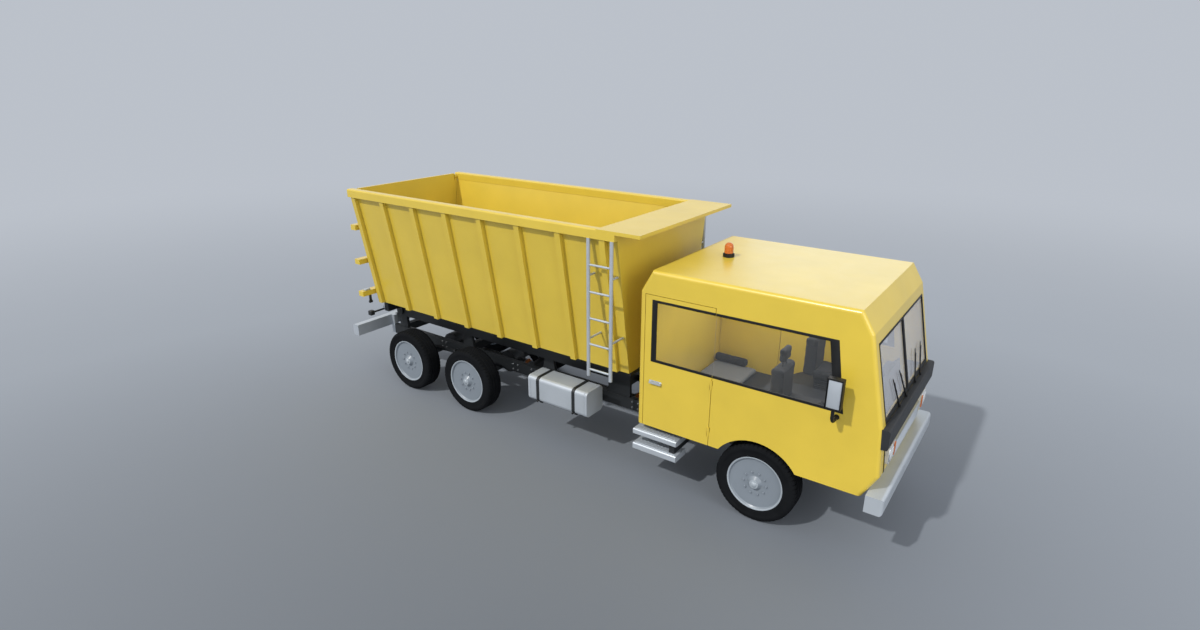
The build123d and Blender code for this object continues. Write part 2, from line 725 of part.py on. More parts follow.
def lamp_room(setback, gap):
    """Block in the rear bar's back face, from the setback to the pocket's floor, a gap inside its walls."""
    middle = sum(REAR_BAR_Z) / 2
    half = LAMP_HEIGHT / 2 - gap
    x = (setback - REAR_REACH, LAMP_DEPTH - REAR_REACH)
    return block(x, (LAMP_Y[0] + gap, LAMP_Y[1] - gap), (middle - half, middle + half))


# Cab

def cab_profile():
    """Side outline of the cab."""
    return make_face(Polyline(
        (CAB_REAR_X, CAB_BOTTOM), (CAB_REAR_X, CAB_TOP - ROOF_REAR_RISE),
        (CAB_REAR_X + ROOF_REAR_RUN, CAB_TOP), (ROOF_FRONT_X, CAB_TOP), (SCREEN_BROW_X, SCREEN_BROW),
        (SCREEN_BOTTOM_X, SCREEN_BOTTOM), (NOSE_X, NOSE_Z), (CHIN_X, CAB_BOTTOM), close=True))


def across(outline, half):
    """Side outline given width about the truck's middle."""
    return Pos(0, half, 0) * extrude(Plane.XZ * outline, 2 * half, dir=(0, -1, 0))


def cab_outer():
    solid = across(cab_profile(), CAB_HALF)
    sides = solid.faces().filter_by(Plane.XZ)
    edges = [edge for face in sides for edge in face.edges() if edge.center().Z > CAB_BOTTOM + OVERCUT]
    return fillet(edges, CAB_ROUND)


def cab_cavity():
    """Room inside the walls, above the floor."""
    inside = across(offset(cab_profile(), -CAB_WALL, kind=Kind.INTERSECTION), CAB_INNER_Y)
    return inside & block((CAB_REAR_X, NOSE_X), (-CAB_HALF, CAB_HALF), (CAB_FLOOR, CAB_TOP))


def window_prism(rear_x, front_low_x, front_high_x, y):
    """Side window between its rear edge and its front edge's foot and head."""
    low, high = WINDOW_BOTTOM, WINDOW_TOP
    return side_prism([(rear_x, low), (front_low_x, low), (front_high_x, high), (rear_x, high)], y)


def cab_side(shell):
    """Left side ahead of the door, with its window and wheel arch cut."""
    region = block((QUARTER_REAR_X, NOSE_X + OVERSIZE), (CAB_INNER_Y, CAB_HALF + OVERSIZE), (0, ROOF_SPLIT))
    side = shell & region
    past = (0, CAB_HALF + OVERCUT)
    side -= window_prism(QUARTER_REAR_X - OVERCUT, WINDOW_FRONT_BOTTOM_X, WINDOW_FRONT_TOP_X, past)
    return side - cross_bar(0, AXLE_Z, ARCH_RADIUS, (0, CAB_HALF + OVERSIZE))


def cab_front(shell):
    """Front panel between the sides, with the two halves of the windscreen cut."""
    front = shell & block((0, NOSE_X + OVERSIZE), (-CAB_INNER_Y, CAB_INNER_Y), (CAB_BOTTOM, ROOF_SPLIT))
    front -= block((0, CHIN_X - CAB_WALL), (-CAB_HALF, CAB_HALF), (CAB_BOTTOM, CAB_FLOOR))
    for y in ((-SCREEN_HALF, -MULLION_HALF), (MULLION_HALF, SCREEN_HALF)):
        front -= block((0, NOSE_X + OVERSIZE), y, (SCREEN_BOTTOM, SCREEN_TOP))
    return front


def cab_roof(shell):
    return shell & block((CAB_REAR_X, NOSE_X), (-CAB_HALF, CAB_HALF), (ROOF_SPLIT, CAB_TOP))


def cab_rear(shell):
    """Rear wall with the corner posts behind the doors."""
    region = block((CAB_REAR_X, DOOR_REAR_X - DOOR_GAP), (-CAB_HALF, CAB_HALF), (CAB_BOTTOM, ROOF_SPLIT))
    return shell & region


def cab_floor():
    """Floor with a hump over the engine and a well over each front wheel."""
    half = CAB_INNER_Y - SWING_GAP
    floor = block((DOOR_REAR_X - DOOR_GAP, CHIN_X - CAB_WALL), (-half, half), (CAB_BOTTOM, CAB_FLOOR))
    hump_x = (ENGINE_X[0] - TUNNEL_GAP, ENGINE_X[1] + TUNNEL_GAP)
    hump_y = ENGINE_HALF + TUNNEL_GAP
    hump_top = ENGINE_Z[1] + TUNNEL_GAP
    sheet = TUNNEL_SHEET
    hump_z = (CAB_BOTTOM, hump_top + sheet)
    floor += block((hump_x[0] - sheet, hump_x[1] + sheet), (-hump_y - sheet, hump_y + sheet), hump_z)
    above = block((-NOSE_X, NOSE_X), (-half, half), (CAB_BOTTOM, CAB_TOP))
    for y in ((WELL_INNER_Y - WELL_SHEET, half), (-half, WELL_SHEET - WELL_INNER_Y)):
        floor += cross_bar(0, AXLE_Z, WELL_RADIUS + WELL_SHEET, y) & above
    for y in ((WELL_INNER_Y, half + OVERCUT), (-half - OVERCUT, -WELL_INNER_Y)):
        floor -= cross_bar(0, AXLE_Z, WELL_RADIUS, y)
    return floor - block(hump_x, (-hump_y, hump_y), (0, hump_top))


def door(outer):
    """Left door: lower panel, rear post and top rail round a frameless pane."""
    region = block((DOOR_REAR_X, DOOR_FRONT_X), (CAB_INNER_Y, CAB_HALF + OVERSIZE), (CAB_BOTTOM, DOOR_TOP))
    past = DOOR_FRONT_X + OVERCUT
    return (outer & region) - window_prism(WINDOW_REAR_X, past, past, (0, CAB_HALF + OVERCUT))


def hinge_axis_bar(z, radius):
    return bar((DOOR_FRONT_X, CAB_HALF, z[0]), (DOOR_FRONT_X, CAB_HALF, z[1]), radius)


def with_door_barrels(panel):
    """Door with a bored barrel at each hinge and room for the fixed half below it."""
    for z in HINGES_Z:
        barrel = (z + HINGE_HEIGHT + RUNNING_GAP, z + 2 * HINGE_HEIGHT)
        panel += hinge_axis_bar(barrel, HINGE_RADIUS)
        panel -= hinge_axis_bar((z - SWING_GAP, z + HINGE_HEIGHT + RUNNING_GAP), HINGE_RADIUS + SWING_GAP)
        panel -= hinge_axis_bar((z, barrel[1] + OVERCUT), HINGE_PIN + RUNNING_GAP)
    return panel


def with_hinge_pins(side):
    """Cab side with the fixed half of each hinge and the pin that the door turns on."""
    for z in HINGES_Z:
        lower = (z, z + HINGE_HEIGHT)
        side -= hinge_axis_bar((z + HINGE_HEIGHT, z + 2 * HINGE_HEIGHT + SWING_GAP), HINGE_RADIUS + SWING_GAP)
        side += hinge_axis_bar(lower, HINGE_RADIUS)
        side += block((DOOR_FRONT_X, QUARTER_REAR_X + OVERCUT), (CAB_HALF - HINGE_PIN, CAB_HALF), lower)
        side += hinge_axis_bar((z, z + 2 * HINGE_HEIGHT), HINGE_PIN)
    return side


def door_glass():
    return window_prism(WINDOW_REAR_X, DOOR_FRONT_X, DOOR_FRONT_X, PANE_Y)


def door_handle():
    """Grip bar on two feet."""
    grip_y = (CAB_HALF + HANDLE_REACH - HANDLE_GRIP, CAB_HALF + HANDLE_REACH)
    z = (HANDLE_Z - HANDLE_GRIP, HANDLE_Z + HANDLE_GRIP)
    grip = block(HANDLE_X, grip_y, z)
    for x in (HANDLE_X[0], HANDLE_X[1] - HANDLE_FOOT):
        grip += block((x, x + HANDLE_FOOT), (CAB_HALF, grip_y[1]), z)
    return grip


def quarter_glass():
    return window_prism(QUARTER_REAR_X, WINDOW_FRONT_BOTTOM_X, WINDOW_FRONT_TOP_X, PANE_Y)


def screen_pane():
    """Left half of the raked windscreen."""
    outer = GLASS_INSET
    inner = GLASS_INSET + GLASS
    low, high = SCREEN_BOTTOM, SCREEN_TOP
    outline = [
        (screen_x(low) - inner, low), (screen_x(low) - outer, low),
        (screen_x(high) - outer, high), (screen_x(high) - inner, high),
    ]
    return side_prism(outline, (MULLION_HALF, SCREEN_HALF))


def proud_of_front(outer, x, y, z):
    """What stands out of the cab's front between two heights."""
    return block(x, y, z) - outer


def front_bar(outer):
    x = (NOSE_X - OVERSIZE, FRONT_BAR_X)
    shape = proud_of_front(outer, x, (-FRONT_BAR_HALF, FRONT_BAR_HALF), FRONT_BAR_Z)
    return fillet(shape.edges().filter_by(Axis.Y).group_by(Axis.X)[-1], FRONT_BAR_ROUND)


def grille(outer):
    return proud_of_front(outer, (NOSE_X - OVERSIZE, GRILLE_X), (-GRILLE_HALF, GRILLE_HALF), GRILLE_Z)


def headlamp(outer):
    lamp = proud_of_front(outer, (NOSE_X - OVERSIZE, HEADLAMP_X), HEADLAMP_Y, HEADLAMP_Z)
    return fillet(lamp.edges().filter_by(Axis.X), HEADLAMP_ROUND)


def wipers():
    """Arms that rise from the dark bar."""
    foot_z = FRONT_BAR_Z[1] + WIPER_STANDOFF
    foot_x = screen_x(foot_z) + WIPER_RADIUS + WIPER_STANDOFF
    tip_x = screen_x(WIPER_TIP_Z) + WIPER_RADIUS + WIPER_STANDOFF
    return [
        bar((foot_x, foot_y, foot_z), (tip_x, tip_y, WIPER_TIP_Z), WIPER_RADIUS)
        for foot_y, tip_y in zip(WIPER_FEET_Y, WIPER_TIPS_Y)
    ]


def side_mirror():
    """Housing on a bent tube that runs down and in to the cab's side."""
    x = (MIRROR_X - MIRROR_HALF_X, MIRROR_X + MIRROR_HALF_X)
    y = (MIRROR_Y - MIRROR_HALF_Y, MIRROR_Y + MIRROR_HALF_Y)
    housing = fillet(block(x, y, MIRROR_Z).edges().filter_by(Axis.Z), MIRROR_ROUND)
    route = FilletPolyline(
        (MIRROR_X, MIRROR_Y, MIRROR_Z[0] + MIRROR_ARM_SEAT), (MIRROR_X, MIRROR_Y, MIRROR_ARM_Z),
        (MIRROR_X, CAB_HALF, MIRROR_ARM_Z), radius=MIRROR_ARM_BEND)
    section = Plane(origin=route @ 0, z_dir=route % 0) * Circle(MIRROR_ARM_RADIUS)
    return housing + sweep(section, path=route)


def beacon_base():
    return bar((BEACON_X, 0, CAB_TOP), (BEACON_X, 0, CAB_TOP + BEACON_BASE), BEACON_BASE_RADIUS)


def beacon_lens():
    """Short drum under a dome."""
    foot = CAB_TOP + BEACON_BASE
    drum = foot + BEACON_HEIGHT - BEACON_RADIUS
    lens = bar((BEACON_X, 0, foot), (BEACON_X, 0, drum), BEACON_RADIUS)
    return lens + Pos(BEACON_X, 0, drum) * Sphere(BEACON_RADIUS, arc_size1=0, align=ON_BASE)


def seat():
    """Pedestal over the wheel well, cushion, back and headrest."""
    foot_x = (SEAT_BASE_X[0] + SEAT_FOOT_INSET, SEAT_BASE_X[1] - SEAT_FOOT_INSET)
    foot_y = (SEAT_Y[0] + SEAT_FOOT_INSET, SEAT_Y[1] - SEAT_FOOT_INSET)
    pedestal = block(foot_x, foot_y, (CAB_FLOOR, SEAT_CUSHION_Z[0]))
    pedestal -= cross_bar(0, AXLE_Z, WELL_RADIUS + WELL_SHEET, (WELL_INNER_Y - WELL_SHEET, CAB_HALF))
    cushion = block(SEAT_BASE_X, SEAT_Y, SEAT_CUSHION_Z)
    back = block(SEAT_BACK_X, SEAT_Y, (SEAT_CUSHION_Z[0], SEAT_BACK_TOP))
    return pedestal + cushion + back + block(HEADREST_X, HEADREST_Y, (SEAT_BACK_TOP, HEADREST_TOP))


def bunk():
    half = CAB_INNER_Y - CAB_WALL
    x = (CAB_REAR_X + CAB_WALL, BUNK_FRONT_X)
    mattress = block(x, (-half, half), (CAB_FLOOR, CAB_FLOOR + BUNK_HEIGHT))
    return fillet(mattress.edges().filter_by(Axis.Z), BUNK_ROUND)


def dashboard(cavity):
    """Dash that fills the front of the cabin, with the steering column and wheel."""
    knee_z = DASH_Z[1] - DASH_UNDERCUT
    outline = [
        (DASH_BACK_X + DASH_UNDERCUT, DASH_Z[0]), (DASH_BACK_X, knee_z), (DASH_BACK_X, DASH_Z[1] - DASH_BROW),
        (DASH_BACK_X + DASH_BROW, DASH_Z[1]), (NOSE_X, DASH_Z[1]), (NOSE_X, DASH_Z[0]),
    ]
    dash = side_prism(outline, (-CAB_HALF, CAB_HALF)) & cavity
    wheel_middle = Vector(WHEEL_X, WHEEL_Y, WHEEL_Z)
    column_foot = Vector(DASH_BACK_X + DASH_UNDERCUT, WHEEL_Y, knee_z)
    plane = Plane(origin=wheel_middle, x_dir=(0, 1, 0), z_dir=column_foot - wheel_middle)
    ring = plane * Torus(WHEEL_RADIUS, WHEEL_GRIP)
    spoke = plane * Box(2 * WHEEL_RADIUS, COLUMN_RADIUS, WHEEL_GRIP)
    return dash + ring + spoke + bar(wheel_middle, column_foot, COLUMN_RADIUS)


# Bed

def bed_members():
    """Sills, cross bearers and rear bolster, welded up from bars that don't overlap."""
    sill_z = (SILL_BOTTOM, BED_BOTTOM)
    members = pair(block((BED_REAR_X, BED_FRONT_X), (RAIL_INNER_Y, RAIL_OUTER_Y), sill_z))
    inner = RAIL_INNER_Y - RUNNING_GAP
    outer_y = (RAIL_OUTER_Y + RUNNING_GAP, BEARER_HALF)
    pitch = (BED_FRONT_X - BED_REAR_X - BEARER) / (BEARER_COUNT - 1)
    for index in range(BEARER_COUNT):
        x = (BED_REAR_X + index * pitch, BED_REAR_X + index * pitch + BEARER)
        z = (BED_BOTTOM - BEARER_DEPTH, BED_BOTTOM) if index else sill_z
        members += [block(x, (-inner, inner), z), *pair(block(x, outer_y, z))]
    return members


def hinge_ear():
    """Left plate that hangs from the bolster and turns on the subframe's pin."""
    y = (RAIL_OUTER_Y + SWING_GAP, RAIL_OUTER_Y + SWING_GAP + HINGE_EAR)
    top = SILL_BOTTOM - RUNNING_GAP
    outline = [
        (BED_HINGE_X - HINGE_EAR_RADIUS, BED_HINGE_Z), (BED_HINGE_X + HINGE_EAR_RADIUS, BED_HINGE_Z),
        (BED_HINGE_X + HINGE_EAR_RADIUS, top), (BED_HINGE_X - HINGE_EAR_RADIUS, top),
    ]
    ear = side_prism(outline, y) + cross_bar(BED_HINGE_X, BED_HINGE_Z, HINGE_EAR_RADIUS, y)
    past = (y[0] - OVERCUT, y[1] + OVERCUT)
    return ear - cross_bar(BED_HINGE_X, BED_HINGE_Z, HINGE_PIN_RADIUS + RUNNING_GAP, past)


def hoist_plate():
    """Plate between the sills that carries the hoist's cheeks."""
    half = HOIST_EYE_RADIUS + HOIST_EAR
    inner = RAIL_INNER_Y - RUNNING_GAP
    z = (BED_BOTTOM - HOIST_EAR, BED_BOTTOM)
    return block((HOIST_EYE_X - half, HOIST_EYE_X + half), (-inner, inner), z)


def hoist_cheek():
    """Left plate beside the rod's eye, under the hoist plate."""
    inside = HOIST_EYE_WIDTH / 2 + SWING_GAP
    y = (inside, inside + HOIST_EAR)
    top = BED_BOTTOM - HOIST_EAR - RUNNING_GAP
    foot = HOIST_EYE_RADIUS + HOIST_EAR
    outline = [
        (HOIST_EYE_X - HOIST_EYE_RADIUS, HOIST_EYE_Z), (HOIST_EYE_X + HOIST_EYE_RADIUS, HOIST_EYE_Z),
        (HOIST_EYE_X + foot, top), (HOIST_EYE_X - foot, top),
    ]
    return side_prism(outline, y) + cross_bar(HOIST_EYE_X, HOIST_EYE_Z, HOIST_EYE_RADIUS, y)


def gate_hook():
    """Left hook that reaches back from the bolster under the tailgate, let down clear of its swing."""
    top = GATE_BOTTOM - SWING_GAP
    low = top - 2 * HOOK_DEPTH
    tip = BED_REAR_X - HOOK_REACH
    outline = [
        (BED_REAR_X, low), (BED_REAR_X, low + HOOK_DEPTH), (tip + HOOK_DEPTH / 2, low + HOOK_DEPTH),
        (tip + HOOK_DEPTH / 2, top), (tip, top), (tip, low + HOOK_DEPTH / 2), (tip + HOOK_DEPTH / 2, low),
    ]
    return side_prism(outline, (HOOK_Y, HOOK_Y + HOOK_PLATE))


def bed_floor():
    top = BED_BOTTOM + BED_FLOOR
    low_y = bed_wall_y(BED_BOTTOM) - WALL_ACROSS
    high_y = bed_wall_y(top) - WALL_ACROSS
    section = [(-low_y, BED_BOTTOM), (low_y, BED_BOTTOM), (high_y, top), (-high_y, top)]
    return front_prism(section, (BED_REAR_X, BED_FRONT_X - BED_WALL))


def bed_side():
    """Left wall with its ribs, top rail and the pin that the tailgate hangs on."""
    x = (BED_REAR_X, BED_FRONT_X - BED_WALL)
    low, high = BED_BOTTOM, RAIL_UNDERSIDE
    section = [(bed_wall_y(low) - WALL_ACROSS, low), (bed_wall_y(low), low),
               (bed_wall_y(high), high), (bed_wall_y(high) - WALL_ACROSS, high)]
    side = front_prism(section, x)
    rail_y = (BED_HALF_TOP - BED_RAIL_WIDTH, BED_HALF_TOP)
    rail = block((GATE_X[0], x[1]), rail_y, (RAIL_UNDERSIDE, BED_TOP))
    side += fillet(rail.edges().filter_by(Axis.X).group_by(Axis.Z)[-1], BED_RAIL_ROUND)
    rib = [(bed_wall_y(low), low), (bed_wall_y(low) + RIB_DEPTH, low),
           (bed_wall_y(high) + RIB_DEPTH, high), (bed_wall_y(high), high)]
    first = BED_REAR_X + RIB_REAR_INSET
    pitch = (BED_FRONT_X - RIB_FRONT_INSET - first) / (RIB_COUNT - 1)
    for index in range(RIB_COUNT):
        x_rib = first + index * pitch
        side += front_prism(rib, (x_rib - RIB_WIDTH / 2, x_rib + RIB_WIDTH / 2))
    pin_y = (rail_y[0] - GATE_EAR - 2 * SWING_GAP, rail_y[0])
    side += cross_bar(GATE_PIN_X, GATE_PIN_Z, GATE_PIN_RADIUS, pin_y)
    return side - canopy()


def canopy():
    return block(CANOPY_X, (-BED_HALF_TOP, BED_HALF_TOP), (BED_TOP - CANOPY_PLATE, BED_TOP))


def bed_front():
    """Front wall under the canopy plate."""
    x = (BED_FRONT_X - BED_WALL, BED_FRONT_X)
    half_low, half_high = bed_wall_y(BED_BOTTOM), bed_wall_y(RAIL_UNDERSIDE)
    top = BED_TOP - CANOPY_PLATE
    half = [
        (half_low, BED_BOTTOM), (half_high, RAIL_UNDERSIDE),
        (BED_HALF_TOP, RAIL_UNDERSIDE), (BED_HALF_TOP, top),
    ]
    section = half + [(-y, z) for y, z in reversed(half)]
    return front_prism(section, x) + canopy()


def ladder():
    """Left ladder: two upright tubes, the rungs between them and stays to the bed wall."""
    pieces = []
    for x in LADDER_RAILS_X:
        pieces.append(bar((x, LADDER_Y, LADDER_BOTTOM), (x, LADDER_Y, RAIL_UNDERSIDE), LADDER_RAIL_RADIUS))
        for share in LADDER_STAY_SHARES:
            z = LADDER_BOTTOM + share * (RAIL_UNDERSIDE - LADDER_BOTTOM)
            stay_y = (bed_wall_y(z + LADDER_RUNG_RADIUS), LADDER_Y - LADDER_RAIL_RADIUS - RUNNING_GAP)
            pieces.append(cross_bar(x, z, LADDER_RUNG_RADIUS, stay_y))
    gap = LADDER_RAIL_RADIUS + RUNNING_GAP
    first = LADDER_BOTTOM + LADDER_FIRST_RUNG
    pitch = (RAIL_UNDERSIDE - LADDER_LAST_RUNG - first) / (LADDER_RUNG_COUNT - 1)
    for index in range(LADDER_RUNG_COUNT):
        z = first + index * pitch
        ends = [(LADDER_RAILS_X[0] + gap, LADDER_Y, z), (LADDER_RAILS_X[1] - gap, LADDER_Y, z)]
        pieces.append(bar(*ends, LADDER_RUNG_RADIUS))
    return pieces


def tailgate():
    """Plate hung from two ears, with a narrower head between the bed's rails and three stiffening bars."""
    half_low = bed_wall_y(GATE_BOTTOM)
    half_high = bed_wall_y(GATE_TOP)
    outline = [
        (-half_low, GATE_BOTTOM), (half_low, GATE_BOTTOM), (half_high, GATE_TOP), (-half_high, GATE_TOP),
    ]
    gate = front_prism(outline, GATE_X)
    bar_x = (GATE_X[0] - GATE_BAR_REACH, GATE_X[0])
    for share in GATE_BAR_SHARES:
        z = GATE_BOTTOM + share * (GATE_TOP - GATE_BOTTOM)
        bar_z = (z - GATE_BAR_HEIGHT / 2, z + GATE_BAR_HEIGHT / 2)
        gate += block(bar_x, (-BED_WALL_TOP_Y, BED_WALL_TOP_Y), bar_z)
    outer = BED_HALF_TOP - BED_RAIL_WIDTH - SWING_GAP
    head_half = outer - GATE_EAR - 2 * SWING_GAP
    gate += block(GATE_X, (-head_half, head_half), (GATE_TOP - GATE_EAR, BED_TOP - GATE_CREST))
    for low in (outer - GATE_EAR, -outer):
        y = (low, low + GATE_EAR)
        past = (low - OVERCUT, low + GATE_EAR + OVERCUT)
        gate += block(GATE_X, y, (GATE_TOP - GATE_EAR, GATE_PIN_Z))
        gate += cross_bar(GATE_PIN_X, GATE_PIN_Z, GATE_EAR_RADIUS, y)
        gate -= cross_bar(GATE_PIN_X, GATE_PIN_Z, GATE_PIN_RADIUS + RUNNING_GAP, past)
    return gate


# Hoist

def along_hoist(distance):
    """Point on the line from the hoist's base pin to its rod eye."""
    line = Vector(HOIST_EYE_X - HOIST_BASE_X, 0, HOIST_EYE_Z - HOIST_BASE_Z).normalized()
    return Vector(HOIST_BASE_X, 0, HOIST_BASE_Z) + line * distance


def hoist_barrel():
    """Barrel with a base eye, a collar at its mouth and a bore for the rod."""
    half = HOIST_EYE_WIDTH / 2
    start = HOIST_EYE_RADIUS + SWING_GAP
    mouth = BARREL_LENGTH + OVERCUT
    barrel = bar(along_hoist(start), along_hoist(BARREL_LENGTH), BARREL_RADIUS)
    collar_start = along_hoist(BARREL_LENGTH - BARREL_COLLAR_LENGTH)
    barrel += bar(collar_start, along_hoist(BARREL_LENGTH), BARREL_RADIUS + BARREL_COLLAR)
    barrel += bar(along_hoist(0), along_hoist(start + OVERCUT), half)
    barrel += cross_bar(HOIST_BASE_X, HOIST_BASE_Z, HOIST_EYE_RADIUS, (-half, half))
    past = (-half - OVERCUT, half + OVERCUT)
    barrel -= cross_bar(HOIST_BASE_X, HOIST_BASE_Z, HOIST_PIN_RADIUS + RUNNING_GAP, past)
    return barrel - bar(along_hoist(BARREL_LENGTH - ROD_SEAT), along_hoist(mouth), ROD_RADIUS + RUNNING_GAP)


def hoist_rod():
    """Rod with a bored eye that sits between the bed's cheeks."""
    half = HOIST_EYE_WIDTH / 2
    length = math.hypot(HOIST_EYE_X - HOIST_BASE_X, HOIST_EYE_Z - HOIST_BASE_Z)
    rod = bar(along_hoist(BARREL_LENGTH - ROD_SEAT + SWING_GAP), along_hoist(length), ROD_RADIUS)
    rod += cross_bar(HOIST_EYE_X, HOIST_EYE_Z, HOIST_EYE_RADIUS, (-half, half))
    return rod


def main():
    os.makedirs("parts", exist_ok=True)
    outer = cab_outer()
    cavity = cab_cavity()
    shell = outer - cavity
    side = with_hinge_pins(cab_side(shell))
    left_door = with_door_barrels(door(outer))

    save("chassis_rails", *pair(frame_rail()))
    save("cross_members", *[lower_member(x) for x in LOWER_MEMBERS_X], rear_member(), hoist_base(),
         *[subframe_member(x) for x in SUBFRAME_MEMBERS_X])
    save("subframe", *pair(subframe_rail()))
    straps = [piece for x in STRAPS_X for piece in pair(tank_strap(x))]
    save("frame_brackets", *subframe_posts(), *cab_mounts(), *bumper_brackets(), *bogie_seats(),
         *engine_mounts(), *pair(step_arm()), *straps)
    save("axles", front_axle(), *[rear_axle(x) for x in REAR_AXLES_X])
    save("leaf_springs", *pair(front_spring()), *pair(bogie_spring()))
    save("engine", engine())
    save("drive_shafts", *drive_shafts())
    save("fuel_tanks", *pair(fuel_tank()))
    save("cab_steps", *pair(cab_step(STEP_UPPER_Z)), *pair(cab_step(STEP_LOWER_Z)))
    save("front_bumper", front_bumper())
    save("rear_bar", rear_bar())
    save("tail_lamps", *pair(lamp_room(LAMP_SETBACK, RUNNING_GAP)))

    save("cab_floor", cab_floor())
    save("cab_rear_wall", cab_rear(shell))
    save("cab_sides", *pair(side))
    save("cab_front", cab_front(shell))
    save("cab_roof", cab_roof(shell))
    save("cab_glass", *pair(quarter_glass()), *pair(screen_pane()))
    save("front_bar", front_bar(outer))
    save("grille", grille(outer))
    save("headlamps", *pair(headlamp(outer)))
    save("wipers", *wipers())
    save("mirrors", *pair(side_mirror()))
    save("beacon_base", beacon_base())
    save("beacon_lens", beacon_lens())
    save("seats", *pair(seat()))
    save("bunk", bunk())
    save("dashboard", dashboard(cavity))

    save("bed_underframe", *bed_members(), *pair(hinge_ear()), hoist_plate(), *pair(hoist_cheek()))
    save("gate_hooks", *pair(gate_hook()))
    save("bed_floor", bed_floor())
    save("bed_sides", *pair(bed_side()))
    save("bed_front", bed_front())
    save("ladders", *[piece for part in ladder() for piece in pair(part)])
    save("tailgate", tailgate())
    save("hoist_barrel", hoist_barrel())
    save("hoist_rod", hoist_rod())
    save("tie_rod", tie_rod())

    for name, turn in (("left", lambda shape: shape), ("right", mirrored)):
        save(f"door_{name}", turn(left_door))
        save(f"door_glass_{name}", turn(door_glass()))
        save(f"door_handle_{name}", turn(door_handle()))
        save(f"knuckle_{name}", turn(knuckle()))
        for place, x in (("front", 0), ("middle", REAR_AXLES_X[0]), ("rear", REAR_AXLES_X[1])):
            save(f"tyre_{place}_{name}", turn(tyre(x)))
            save(f"rim_{place}_{name}", turn(rim(x)))


main()
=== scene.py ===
import json
import math

import bmesh
import bpy
from mathutils import Matrix, Vector


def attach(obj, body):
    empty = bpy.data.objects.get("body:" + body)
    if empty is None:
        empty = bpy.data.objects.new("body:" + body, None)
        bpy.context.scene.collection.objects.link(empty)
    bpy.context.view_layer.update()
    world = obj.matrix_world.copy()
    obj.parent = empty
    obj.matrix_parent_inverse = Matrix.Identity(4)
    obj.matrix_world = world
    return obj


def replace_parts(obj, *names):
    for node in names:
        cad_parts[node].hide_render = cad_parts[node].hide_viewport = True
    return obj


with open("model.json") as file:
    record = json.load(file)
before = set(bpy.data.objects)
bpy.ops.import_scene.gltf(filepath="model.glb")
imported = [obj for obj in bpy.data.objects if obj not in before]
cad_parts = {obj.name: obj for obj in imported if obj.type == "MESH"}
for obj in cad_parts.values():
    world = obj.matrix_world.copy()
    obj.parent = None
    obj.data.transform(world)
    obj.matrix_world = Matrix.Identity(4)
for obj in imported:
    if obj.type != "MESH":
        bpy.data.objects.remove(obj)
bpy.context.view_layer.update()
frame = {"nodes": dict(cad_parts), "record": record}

NODES = frame["nodes"]

# Camera, solved from the photograph's straight edges
CAMERA_PLACE = (5.723, -8.073, 5.330)
CAMERA_YAW = -0.6163
CAMERA_PITCH = -0.3477
CAMERA_ROLL = -0.0029
CAMERA_LENS = 20.38
CAMERA_SENSOR = 36

# Light
SUN_TRAVEL = (0.225, 0.668, -0.709)
SUN_STRENGTH = 2.3
SUN_ANGLE = 0.03
SUN_DISTANCE = 20
SUN_COLOUR = (1, 0.985, 0.95)
SKY_STRENGTH = 1.22
BACKDROP = (0.500, 0.535, 0.591)
HORIZON = tuple(channel / SKY_STRENGTH for channel in BACKDROP)
# Sky: height of a direction, from 0 at the level to 1 overhead, and the colour there
SKY_ROWS = (
    (0.0, HORIZON),
    (0.09, HORIZON),
    (0.2, (0.80, 0.815, 0.84)),
    (0.5, (0.66, 0.675, 0.70)),
    (1.0, (0.42, 0.435, 0.46)),
)
# Lamps behind the truck, before it and under the cab's roof: name, place, target, energy, size and colour
AREA_LAMPS = (
    ("soft", (-0.13, 12.21, 7.05), (1.5, 0, 2.5), 80, 5.2, (0.52, 0.74, 1.0)),
    ("fill", (13, -5, 6), (0, 0, 1.8), 500, 7, (1, 1, 1)),
    ("cabin", (2.9, 0, 2.92), (2.9, 0, 0), 36, 1.6, (1, 1, 1)),
)
# Floor: colours near and far, centre, and the distances of the colours' change and of the fade
FLOOR_NEAR = (0.108, 0.122, 0.141)
FLOOR_FAR = (0.250, 0.275, 0.312)
FLOOR_CENTRE = (3.5, -5.5, 0)
FLOOR_SPREAD = 13
FLOOR_FADE = (6, 34)

# Places on the truck in metres: x runs forward from the front axle, until piece_of() moves a mesh
FRONT_AXLE_X = 3.135
SIDES = (("left", 1), ("right", -1))
AXLES = (("front", 0.0), ("middle", -5.0), ("rear", -6.428))
AXLE_Z = 0.524
TRACK_HALF = 0.99
CAB_HALF = 1.167
CAB_TOP = 3.006
PANE_FACE = 1.155
UP = (0, 0, 1)
HEXAGON = 6
TIP_RADIUS = 0.0002

# Tyre section: distance outboard of the wheel's middle, radius, and whether the shoulder notches cut there
TREAD_RADIUS = 0.524
TREAD_GROOVES = (-0.062, 0.0, 0.062)
GROOVE_HALF = 0.007
GROOVE_SLOPE = 0.002
GROOVE_DEPTH = 0.011
SHOULDER_ROWS = (
    (0.0880, 0.524, 0), (0.0885, 0.524, 1), (0.1180, 0.521, 1), (0.1340, 0.510, 1), (0.1415, 0.497, 1),
    (0.1420, 0.496, 0), (0.1475, 0.475, 0), (0.1490, 0.452, 0), (0.1472, 0.449, 0), (0.1465, 0.420, 0),
    (0.1430, 0.392, 0), (0.1436, 0.388, 0), (0.1370, 0.364, 0), (0.1290, 0.348, 0),
)
NOTCH_COUNT = 56
# Share of a notch's pitch, and whether the notch is cut there
NOTCH_SHARES = ((0.0, 0), (0.66, 0), (0.72, 1), (0.94, 1))
NOTCH_DEPTH = 0.009

